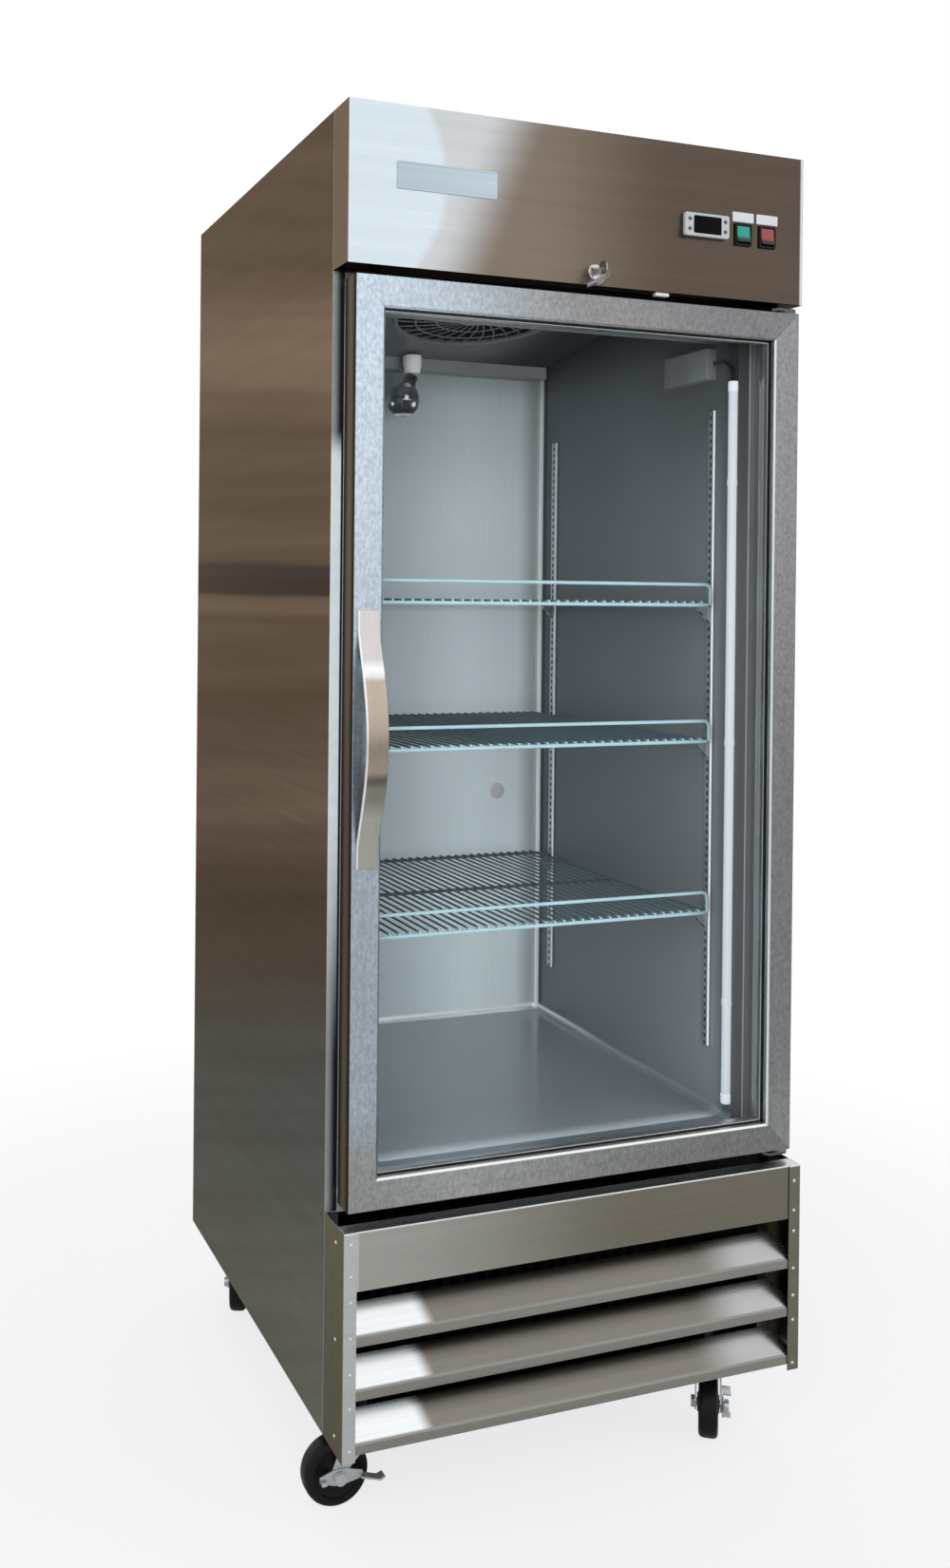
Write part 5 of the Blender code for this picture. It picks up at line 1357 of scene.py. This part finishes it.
# %% [markdown]
# ## Keys on a ring
# The key in the lock has a ring through its eye, and a second key hangs on the ring. They turn with the
# lock.

# %% Ring and second key
RING, HANG = 0.0075, 0.0062
lock_x, _, lock_z = joints["lock_turn"]["pos_m"]
eye_y = HEAD_FRONT - 0.028
hoop = []
for step in range(33):
    turn = 2 * math.pi * step / 32
    hoop.append((lock_x + RING * math.sin(turn), eye_y, lock_z - HANG + RING * math.cos(turn)))
key_ring = bent_wire(hoop, 0.0008)
settle(key_ring, "key_ring", KEY_STEEL, "lock_plug", 60.0)
head = plate((-0.0085, -0.0011, -0.0085), (0.0085, 0.0011, 0.0085), 0.0065, 0.0004)
pick(head)
bpy.ops.object.mode_set(mode="EDIT")
choose(lambda face: face.normal.y < -0.99 and face.calc_area() > 0.0001)
bpy.ops.mesh.inset(thickness=0.0030)
bpy.ops.mesh.inset(thickness=0.0004, depth=-0.0004)
blade = plate((-0.0030, -0.0009, -0.026), (0.0030, 0.0009, -0.007), 0.0009, 0.0003)
second = joined([head, blade])
hang = Matrix.Translation((lock_x - 0.006, eye_y - 0.002, lock_z - 0.018))
second.data.transform(hang @ Matrix.Rotation(math.radians(66.0), 4, "Y") @ Matrix.Rotation(0.75, 4, "Z"))
settle(second, "second_key", KEY_STEEL, "lock_plug", 25.0)

# %% [markdown]
# ## Rivets and screws
# Domed rivets hold the grille together. One is turned, and copies are set on the fronts and the outer
# sides of the two brackets, where they show most.

# %% Rivets on the grille
rivet = turned([(0.0, 0.0014), (0.0012, 0.0013), (0.0021, 0.0009), (0.0027, 0.0), (0.0, 0.0)], 16)
left_z = (0.432, 0.387, 0.352, 0.302, 0.252, 0.205, 0.146)
right_z = (0.424, 0.378, 0.346, 0.288, 0.246, 0.208, 0.141)
spots = [facing((-HALF + 0.0115, GRILLE_FRONT, z), (0.0, -1.0, 0.0)) for z in left_z]
spots += [facing((HALF - 0.0110, GRILLE_FRONT, z), (0.0, -1.0, 0.0)) for z in right_z]
for side in (-1.0, 1.0):
    for z in (0.425, 0.290, 0.155):
        spots.append(facing((side * HALF, GRILLE_FRONT + 0.030, z), (side, 0.0, 0.0)))
settle(repeated(rivet, spots), "grille_rivets", RIVET_STEEL, "cabinet")

# %% [markdown]
# The rear sheet is screwed on along its edges. The pan heads have a dimple in the middle for the driver,
# and they sit at even shares of the height and the width.

# %% Screws on the rear sheet
screw = turned([(0.0, 0.0010), (0.0009, 0.0012), (0.0016, 0.0024), (0.0030, 0.0020), (0.0040, 0.0)], 16)
rear_low, rear_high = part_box("rear_panel")
spots = []
for share in (0.02, 0.21, 0.40, 0.60, 0.79, 0.98):
    z = rear_low.z + share * (rear_high.z - rear_low.z)
    for x in (rear_low.x + 0.014, rear_high.x - 0.014):
        spots.append(facing((x, rear_high.y, z), (0.0, 1.0, 0.0)))
for share in (0.3, 0.5, 0.7):
    x = rear_low.x + share * (rear_high.x - rear_low.x)
    for z in (rear_low.z + 0.020, rear_high.z - 0.020):
        spots.append(facing((x, rear_high.y, z), (0.0, 1.0, 0.0)))
settle(repeated(screw, spots), "sheet_screws", ZINC, "cabinet")

# %% [markdown]
# ## Small things
# A round cap closes a hole in the rear wall, and a small white stop hangs under the header.

# %% Cap and stop
cap = [(0.0, 0.0022), (0.0090, 0.0020), (0.0140, 0.0014), (0.0155, 0.0002), (0.0, 0.0002)]
wall_cap = turned(cap, 32)
wall_cap.data.transform(facing((0.214, INNER_BACK, 0.9415), (0.0, -1.0, 0.0)))
settle(wall_cap, "wall_cap", CAP_GREY, "cabinet")
STOP_LEFT, STOP_RIGHT, STOP_FOOT = 0.1155, 0.1385, 1.7775
stop_low = (STOP_LEFT, HEAD_FRONT + 0.0015, STOP_FOOT)
stop = plate(stop_low, (STOP_RIGHT, HEAD_FRONT + 0.0105, HEAD_FOOT - OFF), 0.0015)
settle(stop, "white_stop", WHITE_PLASTIC, "cabinet", 25.0)

# %% [markdown]
# ## Rolled edges
# Folded sheet has no knife edges. The solid sheets do, so a copy of each is merged, its flat faces are
# joined, and a narrow bevel rolls its edges. The copies then stand for the solid pieces.


# %% Copies with rolled edges
def rolled(name, width, finish, body):
    """A copy of a solid piece with its edges rolled over."""
    piece = bpy.data.objects.new(name + "_rolled", nodes[name].data.copy())
    bpy.context.collection.objects.link(piece)
    pick(piece)
    bpy.ops.object.mode_set(mode="EDIT")
    bpy.ops.mesh.select_all(action="SELECT")
    bpy.ops.mesh.remove_doubles(threshold=1e-6)
    bpy.ops.mesh.dissolve_limited(angle_limit=math.radians(1.0))
    begin()
    use(piece, "BEVEL", width=width, segments=2, limit_method="ANGLE", angle_limit=math.radians(40))
    settle(piece, name + "_rolled", finish, body, 20.0)
    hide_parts(name)


rolled("left_side_panel", 0.0005, SHEETS["side"], "cabinet")
for name in ("right_side_panel", "top_panel"):
    rolled(name, 0.0005, SHEETS["plain"], "cabinet")
rolled("header_panel", 0.0010, SHEETS["header"], "cabinet")
for name in ("grille_top_band", "grille_left_bracket", "grille_right_bracket"):
    rolled(name, 0.0005, SHEETS["grille"], "cabinet")
for number in (1, 2, 3):
    rolled("grille_louver_%d" % number, 0.0004, SHEETS["louver"], "cabinet")
rolled("temperature_controller", 0.0008, SILVER_PLASTIC, "cabinet")
for name in ("light", "power"):
    rolled(name + "_switch_frame", 0.0006, BLACK_PLASTIC, "cabinet")
for caster in CASTERS:
    rolled(caster + "_fork", 0.0006, ZINC, caster + "_swivel_body")
for caster in CASTERS[:2]:
    rolled(caster + "_brake", 0.0006, ZINC, caster + "_brake_body")

# %% [markdown]
# ## Close the lesson
# The box of the dressed refrigerator is shown beside that of the solid model, so that the two can be
# compared.

# %% Sizes and finish
boxes = {"solid": solid_box, "dressed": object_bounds()}
{key: [list(corner) for corner in box] for key, box in boxes.items()}
